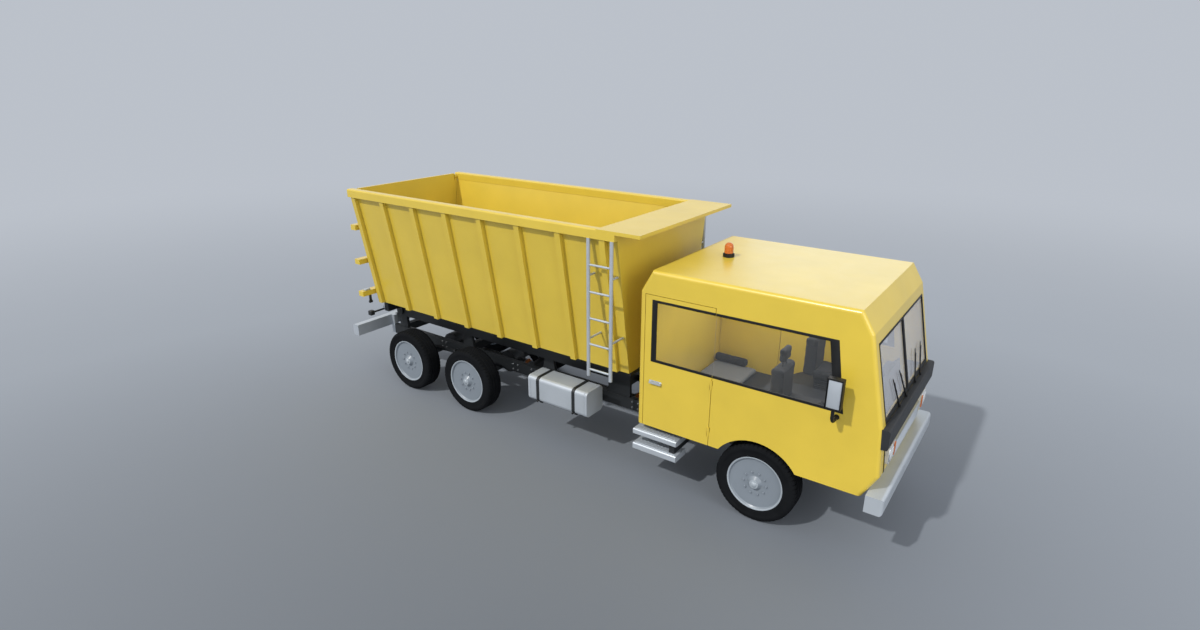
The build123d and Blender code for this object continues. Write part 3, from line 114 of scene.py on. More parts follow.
# Wheel trim: rows of distance outboard and radius
LIP_ROWS = (
    (0.1290, 0.342), (0.1290, 0.361), (0.1340, 0.3635), (0.1385, 0.361), (0.1385, 0.350), (0.1330, 0.342),
)
HUB_ROWS = (
    (0.146, 0.0), (0.146, 0.058), (0.152, 0.058), (0.154, 0.050), (0.154, 0.036), (0.163, 0.031),
    (0.169, 0.020), (0.171, 0.0),
)
DISC_FACE = 0.110
STUD_COUNT = 10
STUD_CIRCLE = 0.150
STUD_ROWS = ((0.0, 0.019), (0.003, 0.019), (0.003, 0.014), (0.016, 0.014), (0.018, 0.011))

# Side window: outline of the opening and of the glass left clear, x and z
WINDOW_DOOR = (
    ((-0.640, 1.802), (-1.504, 1.802), (-1.504, 2.637), (-0.640, 2.637)),
    ((-0.640, 1.836), (-1.432, 1.836), (-1.432, 2.604), (-0.640, 2.604)),
)
WINDOW_FIXED = (
    ((-0.632, 2.637), (0.803, 2.637), (0.942, 1.802), (-0.632, 1.802)),
    ((-0.632, 2.604), (0.709, 2.604), (0.837, 1.836), (-0.632, 1.836)),
)
WINDOW_PROUD = 0.004

# Cab front: height and x of the outer surface, and what lies on it
FRONT_ROWS = ((0.866, 1.250), (1.152, 1.405), (1.740, 1.364), (2.766, 1.145))
SCREEN_HALF = 1.039
SCREEN_Z = (1.742, 2.641)
SCREEN_BAND = 0.026
SCREEN_FOOT = 0.052
SCREEN_INSET = 0.0115
SCREEN_PROUD = 0.004
SCREEN_LIFT = 0.001
DIVIDER_HALF = 0.023
DIVIDER_PROUD = 0.008
OUTLINE_ROWS = ((1.50, 1.022), (1.152, 0.992), (1.045, 0.968))
OUTLINE_WIDTH = 0.026
OUTLINE_PROUD = 0.006
GRILLE_HALF = 0.620
GRILLE_Z = (1.172, 1.358)
GRILLE_X = 1.425
GRILLE_DEPTH = 0.032
GRILLE_RIM = 0.016
# Black sheet behind the slats, painted shade of the grille's recess: its low and high x
GRILLE_SHADE_SHEET_X = (1.389, 1.401)
GRILLE_SLATS = 6
# Lower and upper edge of a slat: distance forward of the grille's back, and up from the slat's middle
SLAT_EDGES = ((0.030, -0.008), (0.014, 0.009))
SLAT_THICKNESS = (-0.004, 0, -0.003)
HEADLAMP_X = 1.430
HEADLAMP_Z = (1.222, 1.438)
BEAM_Y = 0.842
BEAM_Z = 1.330
BEAM_RADIUS = 0.092
BEAM_SIDES = 48
# Ring round the beam: distance forward, and reach past the beam's radius
BEAM_RING_ROWS = ((0.0, 0.012), (0.006, 0.010), (0.008, 0.0), (0.0, 0.0))
BEAM_DOME_FOOT = 0.001
BEAM_DOME_RISE = 0.016
BEAM_DOME_STEPS = 8
TURN_LAMP_X = (1.426, 1.442)
TURN_LAMP_Y = (0.678, 0.736)
TURN_LAMP_MARGIN = 0.03
WIPER_Z = (1.739, 2.060)
# y of a wiper's foot and of its tip
WIPER_PLACES = ((-0.476, -0.614), (-0.155, -0.320), (0.319, 0.433), (0.595, 0.720))
WIPER_REACH = 0.012
WIPER_PIVOT_X = (-0.006, 0.016)
BLADE_ENDS = (-0.30, 0.06)
BLADE_DROP = (-0.004, 0, 0)
BLADE_JOINTS = (0.2, 0.5, 0.8)
BLADE_JOINT_HALF = 0.02

# Mirror
MIRROR_X = (0.795, 0.965)
MIRROR_Y = (1.315, 1.405)
MIRROR_Z = (1.935, 2.285)
MIRROR_RIM = 0.015
MIRROR_BACK_RIM = 0.010
MIRROR_RECESS = 0.008
MIRROR_COVER = 0.004
MIRROR_GLASS_X = 0.004
MIRROR_ARM_RADIUS = 0.019
MIRROR_ARM_BEND = 0.09
MIRROR_ARM_Z = 1.750
MIRROR_ARM_SEAT = 0.01
MIRROR_ARM_STEPS = 8
MIRROR_FLANGE_DEPTH = 0.014

# Door handle's plate
HANDLE_X = (-1.515, -1.335)
HANDLE_Z = (1.496, 1.544)
HANDLE_DEPTH = 0.004

# Beacon: rows of height and radius
BEACON_X = -1.054
BEACON_FOOT = 0.040
BEACON_SIDES = 48
RIDGES_Z = (0.022, 0.042, 0.062, 0.082)
RIDGE_ROWS = ((0.0, 0.057), (0.005, 0.0615), (0.010, 0.057))
BEACON_RING_ROWS = ((-0.004, 0.058), (-0.004, 0.070), (0.006, 0.070), (0.010, 0.064), (0.010, 0.058))
BEACON_BOLTS = 6
BEACON_BOLT_CIRCLE = 0.069
BEACON_BOLT_DROP = 0.0395
BEACON_BOLT_ROWS = ((0, 0.012), (0.005, 0.012), (0.007, 0.009))

# Bed wall: half-width at its foot and under its rail, and the ribs
WALL_Z = (1.376, 3.311)
WALL_Y = (0.876, 1.200)
WALL_LEAN = -0.167
RIB_FIRST = -7.284
RIB_PITCH = 0.7230
RIB_COUNT = 8
RIVET_OFFSET = 0.062
RIVET_MARGIN = 0.06
RIVET_COUNT = 24
RIVET_RADIUS = 0.0085
# Rivet's head: height, and share of its radius
RIVET_ROWS = ((-0.002, 1), (0.0, 1), (0.003, 0.75), (0.0045, 0.35))

# Tailgate latch: strut under the gate's lowest bar, and the lever at the bed's rear corner
GATE_BAR_Z = (1.534, 1.624)
LATCH_X = -7.44
LATCH_Y = 1.03
LATCH_FOOT = 1.385
STRUT_HALF_X = 0.012
STRUT_HALF_Y = 0.022
STRUT_EYE_Z = 0.012
STRUT_EYE_ROWS = ((-0.03, 0.022), (-0.026, 0.026), (0.026, 0.026), (0.03, 0.022))
BAR_PLATE_HALF = 0.035
BAR_PLATE_WIDTH = 0.11
BAR_PLATE_DEPTH = 0.028
LATCH_ROUND = 0.008
BED_REAR_X = -7.336
LEVER_X = -7.40
LEVER_Y = (0.79, 1.03)
LEVER_Z = 1.20
LEVER_HEAD_X = 0.045
LEVER_HEAD_Y = 0.085
LEVER_HEAD_Z = 0.042
LEVER_MOUNT_X = 0.03
LEVER_MOUNT_Y = (0.735, 0.80)
LEVER_MOUNT_Z = (1.18, 1.26)

# Side equipment
TANK_X = (-3.615, -2.530)
TANK_Y = (0.780, 1.170)
TANK_Z = (0.645, 1.035)
TANK_ROUND = 0.060
SEAM_INSET = 0.045
SEAM_STEPS = 4
CAP_INSET = 0.36
CAP_ROWS = ((-0.002, 0.052), (0.010, 0.052), (0.012, 0.046), (0.034, 0.046), (0.040, 0.040), (0.042, 0.0))
STRAPS_X = (-3.430, -2.770)
STRAP_PROUD = 0.004
STRAP_BOLT_Z = 0.02
STRAP_BOLT_ROWS = ((0, 0.018), (0.018, 0.018), (0.022, 0.013))
STEP_X = (-1.730, -1.070)
STEP_Y = (0.920, 1.200)
STEP_TOPS = (0.770, 0.553)
# Buttons on a step: first place from the step's corner, pitch and count, along x and along y
BUTTONS_X = (0.06, 0.054, 11)
BUTTONS_Y = (0.08, 0.06, 3)
BUTTON_ROWS = ((-0.001, 0.011), (0.002, 0.011), (0.0045, 0.007))
STEP_RIB_INSET_X = 0.03
STEP_RIB_INSET_Y = 0.035

# Chassis fittings
CROSSES_X = (-2.385, -1.215, -4.635)
CROSS_HALF = 0.094
YOKE_ROWS = ((-0.035, 0.070), (-0.030, 0.080), (0.030, 0.080), (0.035, 0.070))
RAIL_FACE = 0.480
BOLTS_X = (-6.95, -6.2, -5.2, -4.5, -4.1, -3.2, -2.15, -1.75, -0.9, 0.9)
BOLT_OFFSETS = (-0.05, 0.05)
BOLTS_Z = (0.635, 0.725)
BOLT_ROWS = ((0, 0.019), (0.003, 0.019), (0.003, 0.015), (0.014, 0.015), (0.016, 0.012))
# Springs' U-bolts: x and y of the spring's seat, and the bolts' foot and top
CLAMP_PLACES = ((0.0, 0.440, 0.392, 0.560), (-5.714, 0.600, 0.640, 0.730))
CLAMP_OFFSETS = (-0.066, 0.066)
CLAMP_LEGS = (-0.042, 0.042)
CLAMP_BRIDGE = (-0.046, 0.046)
CLAMP_RADIUS = 0.010
CLAMP_BRIDGE_DROP = 0.008
CLAMP_NUT_Z = 0.012
CLAMP_NUT_ROWS = ((-0.012, 0.017), (0.004, 0.017))

# Tail lamp
TAIL_X = -7.776
TAIL_Y = (0.822, 1.118)
TAIL_Z = 0.845
TAIL_HALF = 0.053
TAIL_RIM = 0.008
TAIL_RIM_DEPTH = (-0.0035, 0, 0)
TAIL_LENS_X = (-7.779, -7.774)
TAIL_LENS_HALF = 0.044
# Field's name, its slot, and its low and high y
TAIL_FIELDS = (
    ("turn", "amber_lens", 1.022, 1.108),
    ("stop", "red_lens", 0.922, 1.018),
    ("reverse", "lamp_glass", 0.832, 0.918),
)

# Cabin
SEAT_Y = (0.370, 0.850)
PEDESTAL_X = (0.120, 0.500)
PEDESTAL_Y = (0.430, 0.790)
CAB_FLOOR = 0.960
WELL_RADIUS = 0.6655
WELL_INNER_Y = 0.4745
BELLOWS_Z = (1.240, 1.354)
BELLOWS_COUNT = 4
WELL_STEPS = 8
BASE_X = (0.11, 0.51)
BASE_INSET_Y = 0.05
BASE_Z = (1.355, 1.386)
HEADREST_Y = (0.480, 0.740)
STALK_X = 0.05
STALK_INSET = 0.07
STALK_Z = (1.95, 2.05)

# Pads: name, x, y and z, even step of the mesh, sewn channels, how far a point may move, and rounding
# Channel: axis, place and depth
SEAT_PADS = (
    ("seat_cushion", (0.075, 0.560), SEAT_Y, (1.385, 1.530), 0.010,
     ((1, 0.455, 0.012), (1, 0.765, 0.012), (0, 0.24, 0.008), (0, 0.40, 0.008)), 0.026, 0.03),
    ("seat_back", (-0.040, 0.120), SEAT_Y, (1.400, 1.990), 0.010,
     ((2, 1.60, 0.010), (2, 1.73, 0.010), (2, 1.86, 0.010)), 0.026, 0.03),
    ("headrest", (0.0, 0.100), HEADREST_Y, (2.010, 2.200), 0.008, ((2, 2.105, 0.006),), 0.026, 0.03),
)
BUNK_PAD = ("bunk", (-1.624, -0.900), (-1.047, 1.047), (0.960, 1.050), 0.022,
            ((1, -0.52, 0.008), (1, 0.0, 0.008), (1, 0.52, 0.008)), 0.02, 0.025)
BOLSTER_PAD = ("bolster", (-1.600, -1.050), (0.900, 1.030), (1.045, 1.190), 0.012,
               ((0, -1.325, 0.008),), 0.026, 0.04)
PAD_INSET_SHARE = 0.45
PAD_FRAMES = 20
CHANNEL_HALF = 0.014

# Dashboard
HOOD_X = (0.935, 1.035)
HOOD_Y = (0.42, 0.80)
HOOD_Z = (1.66, 1.745)
DIALS_Y = (0.51, 0.71)
DIAL_Z = 1.703
DIAL_ROWS = ((0.0, 0.034), (0.004, 0.036), (0.006, 0.033))
VENTS_Y = (-0.85, -0.30, 0.12)
VENT_X = (0.947, 0.965)
VENT_HALF = 0.075
VENT_Z = (1.575, 1.625)
VENT_BARS = 4
VENT_BAR_X = (0.944, 0.951)
VENT_BAR_HALF = 0.066
# Vent's bars: lowest place, pitch and thickness
VENT_BAR_Z = (1.583, 0.0115, 0.003)
SWITCH_COUNT = 6
SWITCH_X = (0.945, 0.965)
# Switches: first place, pitch and width
SWITCH_Y = (-0.12, 0.035, 0.024)
SWITCH_Z = (1.52, 1.556)

# Colours, linear
YELLOW = (0.655, 0.478, 0.048)
BLACK = (0.010, 0.012, 0.014)
SILVER = (0.45, 0.49, 0.535)
RUBBER = (0.0080, 0.0088, 0.0102)


# Materials

def set_values(owner, values):
    """Set inputs and properties by name; an input's name has spaces for underscores."""
    for key, value in values.items():
        socket = key.replace("_", " ")
        if socket in owner.inputs:
            owner.inputs[socket].default_value = value
        else:
            setattr(owner, key, value)


def material(name, colour, roughness, **values):
    """New node material and its shader, with the plain values set."""
    made = bpy.data.materials.new(name)
    made.use_nodes = True
    shader = made.node_tree.nodes["Principled BSDF"]
    set_values(shader, {"Base_Color": (*colour, 1), "Roughness": roughness, **values})
    return made, shader


def node(made, kind, **values):
    """Node with its properties and input values set by name."""
    new = made.node_tree.nodes.new(kind)
    set_values(new, values)
    return new


def link(made, source, target):
    """Join two sockets."""
    made.node_tree.links.new(source, target)


def object_noise(made, scale, detail=4.0, stretch=(1, 1, 1)):
    """Noise in the object's own space, in metres, stretched along its axes."""
    spot = node(made, "ShaderNodeTexCoord")
    turn = node(made, "ShaderNodeMapping", Scale=stretch)
    noise = node(made, "ShaderNodeTexNoise", Scale=scale, Detail=detail)
    link(made, spot.outputs["Object"], turn.inputs["Vector"])
    link(made, turn.outputs["Vector"], noise.inputs["Vector"])
    return noise


def ramp(made, source, rows):
    """Colour ramp through rows of (share, colour), driven by a socket."""
    new = node(made, "ShaderNodeValToRGB")
    stops = new.color_ramp.elements
    while len(stops) < len(rows):
        stops.new(0.5)
    for stop, (share, colour) in zip(stops, rows):
        stop.position = share
        stop.color = (*colour, 1)
    link(made, source, new.inputs["Fac"])
    return new


def vary_colour(made, shader, noise, colour, dark, light):
    """Darken and lighten a colour by a noise."""
    mixed = ramp(made, noise.outputs["Fac"], ((0.32, shade(colour, dark)), (0.68, shade(colour, light))))
    link(made, mixed.outputs["Color"], shader.inputs["Base Color"])


def vary_roughness(made, shader, noise, low, high):
    """Spread the roughness between two values by a noise."""
    mapped = node(made, "ShaderNodeMapRange", To_Min=low, To_Max=high)
    link(made, noise.outputs["Fac"], mapped.inputs["Value"])
    link(made, mapped.outputs["Result"], shader.inputs["Roughness"])


def bump(made, shader, height, strength, distance):
    """Raise the surface by a socket's value."""
    raised = node(made, "ShaderNodeBump", Strength=strength, Distance=distance)
    link(made, height, raised.inputs["Height"])
    link(made, raised.outputs["Normal"], shader.inputs["Normal"])


def shade(colour, factor):
    """Colour made darker or lighter."""
    return tuple(channel * factor for channel in colour)


def paint(name, colour, low=0.34, high=0.46, coat=0.5):
    """Sprayed enamel: faint dust in the colour, uneven gloss and orange peel."""
    made, shader = material(name, colour, low, Coat_Weight=coat, Coat_Roughness=0.22)
    dust = object_noise(made, scale=1.7, detail=6)
    vary_colour(made, shader, dust, colour, dark=0.95, light=1.03)
    vary_roughness(made, shader, object_noise(made, scale=5, detail=5), low, high)
    peel = object_noise(made, scale=160, detail=2)
    bump(made, shader, peel.outputs["Fac"], strength=0.08, distance=0.0006)
    return made


def brushed(name, colour, low, high, metallic=1.0):
    """Metal with fine drawn lines along x."""
    made, shader = material(name, colour, low, Metallic=metallic)
    lines = object_noise(made, scale=24, detail=6, stretch=(1, 14, 14))
    stains = object_noise(made, scale=3, detail=5)
    vary_colour(made, shader, stains, colour, dark=0.93, light=1.03)
    vary_roughness(made, shader, lines, low, high)
    bump(made, shader, lines.outputs["Fac"], strength=0.05, distance=0.0004)
    return made


def moulded(name, colour, low=0.5, high=0.66, gloss=0.3):
    """Plastic or rubber with a fine moulded grain."""
    made, shader = material(name, colour, low, Specular_IOR_Level=gloss)
    dust = object_noise(made, scale=6)
    vary_colour(made, shader, dust, colour, dark=0.86, light=1.12)
    vary_roughness(made, shader, object_noise(made, scale=30), low, high)
    grain = object_noise(made, scale=420, detail=2)
    bump(made, shader, grain.outputs["Fac"], strength=0.18, distance=0.0006)
    return made


def cloth(name, colour):
    """Woven seat cloth: crossed threads in the bump and in the colour, soft sheen."""
    made, shader = material(name, colour, roughness=0.9, Sheen_Weight=0.04)
    spot = node(made, "ShaderNodeTexCoord")
    waves = []
    for direction in ("X", "Y"):
        wave = node(made, "ShaderNodeTexWave", bands_direction=direction, Scale=90.0, Distortion=1.2)
        link(made, spot.outputs["Object"], wave.inputs["Vector"])
        waves.append(wave)
    weave = node(made, "ShaderNodeMath", operation="MULTIPLY")
    link(made, waves[0].outputs["Fac"], weave.inputs[0])
    link(made, waves[1].outputs["Fac"], weave.inputs[1])
    threads = ramp(made, weave.outputs["Value"], ((0, shade(colour, 0.72)), (1, shade(colour, 1.2))))
    link(made, threads.outputs["Color"], shader.inputs["Base Color"])
    bump(made, shader, weave.outputs["Value"], strength=0.35, distance=0.002)
    return made


def glass(name, colour, alpha):
    """Tinted pane that lets most light through, with faint smears in its gloss."""
    made, shader = material(name, colour, roughness=0.04, Alpha=alpha, IOR=1.5)
    vary_roughness(made, shader, object_noise(made, scale=2.5), low=0.03, high=0.09)
    tint = object_noise(made, scale=1.5, detail=3)
    vary_colour(made, shader, tint, colour, dark=0.95, light=1.05)
    return made


def lens(name, colour, transmission):
    """Clear or coloured lamp lens with moulded flutes."""
    made, shader = material(name, colour, roughness=0.12, Transmission_Weight=transmission)
    flutes = object_noise(made, scale=60, detail=2, stretch=(1, 1, 0.2))
    vary_colour(made, shader, flutes, colour, dark=0.88, light=1.08)
    bump(made, shader, flutes.outputs["Fac"], strength=0.2, distance=0.001)
    return made


# Slot, kind of finish, colour and the kind's own values: lowest and highest roughness first where they vary
FINISHES = (
    ("yellow_paint", paint, YELLOW),
    ("black_paint", paint, BLACK, 0.42, 0.6, 0.05),
    ("grey_steel", brushed, (0.20, 0.21, 0.22), 0.4, 0.55),
    ("cast_mass", moulded, (0.05, 0.05, 0.052), 0.6, 0.8),
    ("silver_metal", brushed, SILVER, 0.30, 0.38, 0.3),
    ("dark_plastic", moulded, (0.022, 0.024, 0.027)),
    ("black_trim", moulded, (0.008, 0.0085, 0.009), 0.42, 0.58),
    ("lamp_glass", lens, (0.85, 0.86, 0.86), 0.3),
    ("red_lens", lens, (0.42, 0.012, 0.01), 0.2),
    ("amber_lens", lens, (0.62, 0.165, 0.026), 0.15),
    ("tinted_glass", glass, (0.34, 0.37, 0.41), 0.05),
    ("seat_cloth", cloth, (0.013, 0.014, 0.016)),
    ("bunk_cloth", cloth, (0.19, 0.205, 0.225)),
    ("tyre_rubber", moulded, RUBBER, 0.72, 0.88, 0.05),
    ("wheel_silver", paint, (0.20, 0.23, 0.265), 0.34, 0.46, 0.1),
)
MATERIALS = {slot: finish(slot, colour, *values) for slot, finish, colour, *values in FINISHES}
# Raked screen: a paler, less clear copy of the glass, a painted sky reflection
SCREEN_GLASS_PAINTED_REFLECTION = glass("screen_glass_painted_reflection", (0.58, 0.60, 0.645), alpha=0.45)
WHEEL_TRIM = paint("wheel_trim", (0.33, 0.37, 0.41), low=0.28, high=0.4)
RUSTED = moulded("rusted_joint", (0.36, 0.125, 0.035), low=0.6, high=0.8)
CHROME = brushed("bright_chrome", (0.78, 0.80, 0.82), low=0.08, high=0.16)


def dress_nodes():
    """Give each solid its slot's material; the raked screen gets a paler, less clear copy of the glass, a
    painted sky reflection.
    """
    for part in frame["record"]["subparts"]:
        solid = NODES[part["node"]]
        solid.data.materials.clear()
        solid.data.materials.append(MATERIALS[part["material_slot"]])
    panes = NODES["cab_glass"].data
    panes.materials.append(SCREEN_GLASS_PAINTED_REFLECTION)
    for face in panes.polygons:
        if abs(face.normal.x) > abs(face.normal.y):
            face.material_index = 1


def within(ends, margin):
    """Low and high place, each moved inward."""
    return ends[0] + margin, ends[1] - margin


def spread(middle, half):
    """Low and high place either side of a middle."""
    return middle - half, middle + half


def rectangle(across, up, inset=(0, 0)):
    """Corners in turn of a rectangle drawn in by an inset each way."""
    (left, right), (low, high) = within(across, inset[0]), within(up, inset[1])
    return ((left, low), (right, low), (right, high), (left, high))


def sided(side, *places):
    """Places mirrored to a side of the truck, low one first."""
    return sorted(side * value for value in places)


# Mesh building

def block(bm, x, y, z, rounding=0.0, steps=2):
    """Box between low and high places, with rounded edges."""
    verts = bmesh.ops.create_cube(bm, size=1)["verts"]
    middle = Vector((sum(x), sum(y), sum(z))) / 2
    size = Vector((x[1] - x[0], y[1] - y[0], z[1] - z[0]))
    for vert in verts:
        vert.co = middle + vert.co * size
    if rounding:
        edges = list({edge for vert in verts for edge in vert.link_edges})
        bmesh.ops.bevel(bm, geom=edges, offset=rounding, segments=steps, profile=0.5, affect="EDGES")


def bridge(bm, low, high, closed=True):
    """Quads between two rows of the same count."""
    count = len(low)
    for step in range(count if closed else count - 1):
        after = (step + 1) % count
        bm.faces.new((low[step], low[after], high[after], high[step]))


def skin(bm, loops, ring=False):
    """Faces from loop to loop; a ring's last loop meets its first, and other ends are capped."""
    for low, high in zip(loops, loops[1:]):
        bridge(bm, low, high)
    if ring:
        bridge(bm, loops[-1], loops[0])
    else:
        bm.faces.new(loops[0])
        bm.faces.new(loops[-1])


def circle(count):
    """Cosine and sine of angles spread evenly round a circle."""
    angles = [2 * math.pi * step / count for step in range(count)]
    return [(math.cos(angle), math.sin(angle)) for angle in angles]


def round_loop(bm, middle, across, other, radius, steps):
    """Points round a circle in the plane of two directions."""
    return [bm.verts.new(middle + (across * cos + other * sin) * radius) for cos, sin in circle(steps)]


def spin(bm, rows, centre, axis, steps=32, ring=False):
    """Turn rows of (distance along, radius) about an axis; a ring's last row meets its first."""
    axis = Vector(axis).normalized()
    across = axis.orthogonal().normalized()
    other = axis.cross(across)
    loops = []
    for along, radius in rows:
        middle = Vector(centre) + axis * along
        loops.append(round_loop(bm, middle, across, other, max(radius, TIP_RADIUS), steps))
    skin(bm, loops, ring)


def rod(bm, start, end, radius, steps=12, chamfer=0.002):
    """Round bar between two points with chamfered ends."""
    along = Vector(end) - Vector(start)
    length = along.length
    rows = ((0, radius - chamfer), (chamfer, radius), (length - chamfer, radius), (length, radius - chamfer))
    spin(bm, rows, start, along, steps)


def hose(bm, points, radius, steps):
    """Round bar along a run of points, square to it at each."""
    spots = [Vector(point) for point in points]
    loops = []
    across = None
    for index, spot in enumerate(spots):
        ahead = (spots[min(index + 1, len(spots) - 1)] - spots[max(index - 1, 0)]).normalized()
        across = (ahead.orthogonal() if across is None else across - ahead * across.dot(ahead)).normalized()
        loops.append(round_loop(bm, spot, across, ahead.cross(across), radius, steps))
    skin(bm, loops)


def band(bm, outer, inner, depth, closed=True):
    """Flat band between two outlines of the same count of corners, thickened by a vector."""
    depth = Vector(depth)
    back_out, back_in = ([bm.verts.new(Vector(point)) for point in loop] for loop in (outer, inner))
    front_out, front_in = ([bm.verts.new(Vector(point) + depth) for point in loop] for loop in (outer, inner))
    for low, high in ((back_out, front_out), (front_out, front_in), (front_in, back_in), (back_in, back_out)):
        bridge(bm, low, high, closed)
    if not closed:
        for end in (0, -1):
            bm.faces.new((back_out[end], front_out[end], front_in[end], back_in[end]))


def prism(bm, outline, y):
    """Solid between two places of y, from an outline of x and z."""
    ends = [[bm.verts.new((x, value, z)) for x, z in outline] for value in y]
    skin(bm, ends)


def soften(bm, offset, steps=2, angle=0.5):
    """Round the mesh's sharp edges."""
    bmesh.ops.recalc_face_normals(bm, faces=bm.faces)
    sharp = [edge for edge in bm.edges if len(edge.link_faces) == 2 and edge.calc_face_angle() > angle]
    bmesh.ops.bevel(bm, geom=sharp, offset=offset, segments=steps, profile=0.5, affect="EDGES")


def dress(mesh, finish, sharp=35):
    """Material and smooth shading, kept sharp at hard edges."""
    mesh.materials.clear()
    mesh.materials.append(finish)
    mesh.shade_smooth()
    mesh.set_sharp_from_angle(angle=math.radians(sharp))


def place(name, mesh, body):
    """Piece made of a mesh under a name, riding a body."""
    piece = bpy.data.objects.new(name, mesh)
    bpy.context.collection.objects.link(piece)
    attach(piece, body)
    return piece


def piece_of(bm, name, slot, body="chassis", finish=None, sharp=35):
    """Turn a bmesh, with x from the front axle, into a finished piece in the part's frame."""
    bmesh.ops.translate(bm, vec=(FRONT_AXLE_X, 0, 0), verts=bm.verts)
    bmesh.ops.recalc_face_normals(bm, faces=bm.faces)
    mesh = bpy.data.meshes.new(name)
    bm.to_mesh(mesh)
    bm.free()
    dress(mesh, finish or MATERIALS[slot], sharp)
    return place(name, mesh, body)


# Wheels

def tyre(bm, centre):
    """Tyre with three grooves round its tread and notched shoulders."""
    crown = []
    foot = GROOVE_HALF - GROOVE_SLOPE
    for groove in TREAD_GROOVES:
        for out, drop in ((-GROOVE_HALF, 0), (-foot, GROOVE_DEPTH), (foot, GROOVE_DEPTH), (GROOVE_HALF, 0)):
            crown.append((groove + out, TREAD_RADIUS - drop, 0))
    inboard = [(-out, radius, cut) for out, radius, cut in reversed(SHOULDER_ROWS)]
    loops = []
    for out, radius, cut in inboard + crown + list(SHOULDER_ROWS):
        loop = []
        for pitch in range(NOTCH_COUNT):
            for share, low in NOTCH_SHARES:
                angle = 2 * math.pi * (pitch + share) / NOTCH_COUNT
                reach = radius - NOTCH_DEPTH * cut * low
                spoke = Vector((math.cos(angle) * reach, out, math.sin(angle) * reach))
                loop.append(bm.verts.new(centre + spoke))
        loops.append(loop)
    skin(bm, loops, ring=True)


def wheels():
    """Tyre, trim and nuts of each wheel."""
    for axle, x in AXLES:
        for name, side in SIDES:
            body = f"{axle}_{name}_wheel"
            centre = Vector((x, side * TRACK_HALF, AXLE_Z))
            out = (0, side, 0)
            bm = bmesh.new()
            tyre(bm, centre)
            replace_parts(piece_of(bm, f"road_tyre_{axle}_{name}", "tyre_rubber", body), f"tyre_{axle}_{name}")
            bm = bmesh.new()
            spin(bm, LIP_ROWS, centre, out, steps=96, ring=True)
            spin(bm, HUB_ROWS, centre, out, steps=40)
            piece_of(bm, f"wheel_trim_{axle}_{name}", "silver_metal", body, WHEEL_TRIM)
            bm = bmesh.new()
            for cos, sin in circle(STUD_COUNT):
                stud = centre + Vector((cos * STUD_CIRCLE, side * DISC_FACE, sin * STUD_CIRCLE))
                spin(bm, STUD_ROWS, stud, out, HEXAGON)
            piece_of(bm, f"wheel_nuts_{axle}_{name}", "wheel_silver", body, sharp=25)


# Cab

def front_x(z):
    """Outer surface of the cab's front at a height."""
    for (low_z, low_x), (high_z, high_x) in zip(FRONT_ROWS, FRONT_ROWS[1:]):
        if z <= high_z:
            return low_x + (z - low_z) / (high_z - low_z) * (high_x - low_x)
    return FRONT_ROWS[-1][1]


def front_place(y, z, proud=0.0):
    """Point on the cab's front, or proud of it."""
    return Vector((front_x(z) + proud, y, z))


def window_frames():
    """Black strips round the side glass: those on the door swing with it."""
    for name, side in SIDES:
        parts = (("door", f"{name}_door", WINDOW_DOOR), ("fixed", "chassis", WINDOW_FIXED))
        for part, body, outlines in parts:
            bm = bmesh.new()
            loops = [[(x, side * PANE_FACE, z) for x, z in outline] for outline in outlines]
            band(bm, *loops, (0, side * (CAB_HALF + WINDOW_PROUD - PANE_FACE), 0), closed=False)
            soften(bm, offset=0.003)
            piece_of(bm, f"window_frame_{part}_{name}", "black_trim", body)


def screen_frames():
    """Windscreen's rubbers, its divider's cover and the outline below the dark bar."""
    bm = bmesh.new()
    low, high = SCREEN_Z
    for _, side in SIDES:
        loops = []
        for inset, foot in ((0.0, 0.0), (SCREEN_BAND, SCREEN_FOOT)):
            across = (side * (DIVIDER_HALF + inset / 2), side * (SCREEN_HALF - inset))
            corners = rectangle(across, (low + foot, high - inset))
            loops.append([front_place(y, z, -SCREEN_INSET) for y, z in corners])
        band(bm, *loops, (SCREEN_INSET + SCREEN_PROUD, 0, SCREEN_LIFT))
    edges = [[front_place(side * DIVIDER_HALF, z) for z in SCREEN_Z] for _, side in SIDES]
    band(bm, *edges, (DIVIDER_PROUD, 0, 0), closed=False)
    for _, side in SIDES:
        outer = [front_place(side * y, z) for z, y in OUTLINE_ROWS]
        inner = [front_place(side * (y - OUTLINE_WIDTH), z) for z, y in OUTLINE_ROWS]
        band(bm, outer, inner, (OUTLINE_PROUD, 0, 0), closed=False)
    soften(bm, offset=0.002)
    piece_of(bm, "screen_rubber", "black_trim")


def grille():
    """Frame with sloping slats over a black sheet, painted shade of the recess behind them."""
    low, high = GRILLE_Z
    rim = GRILLE_RIM
    across = (-GRILLE_HALF, GRILLE_HALF)
    clear_y = within(across, rim)
    back = GRILLE_X - GRILLE_DEPTH
    bm = bmesh.new()
    loops = [[(back, y, z) for y, z in rectangle(across, GRILLE_Z, (inset, inset))] for inset in (0, rim)]
    band(bm, *loops, (GRILLE_DEPTH, 0, 0))
    pitch = (high - low - 2 * rim) / GRILLE_SLATS
    for index in range(GRILLE_SLATS):
        z = low + rim + (index + 0.5) * pitch
        edges = [[(back + out, y, z + up) for y in clear_y] for out, up in SLAT_EDGES]
        band(bm, *edges, SLAT_THICKNESS, closed=False)
    soften(bm, offset=0.0012)
    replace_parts(piece_of(bm, "grille_slats", "silver_metal"), "grille")
    # Black sheet behind the slats: painted shade of the grille's recess
    bm = bmesh.new()
    block(bm, GRILLE_SHADE_SHEET_X, clear_y, within(GRILLE_Z, rim), rounding=0.002)
    piece_of(bm, "grille_shade_sheet", "black_trim")


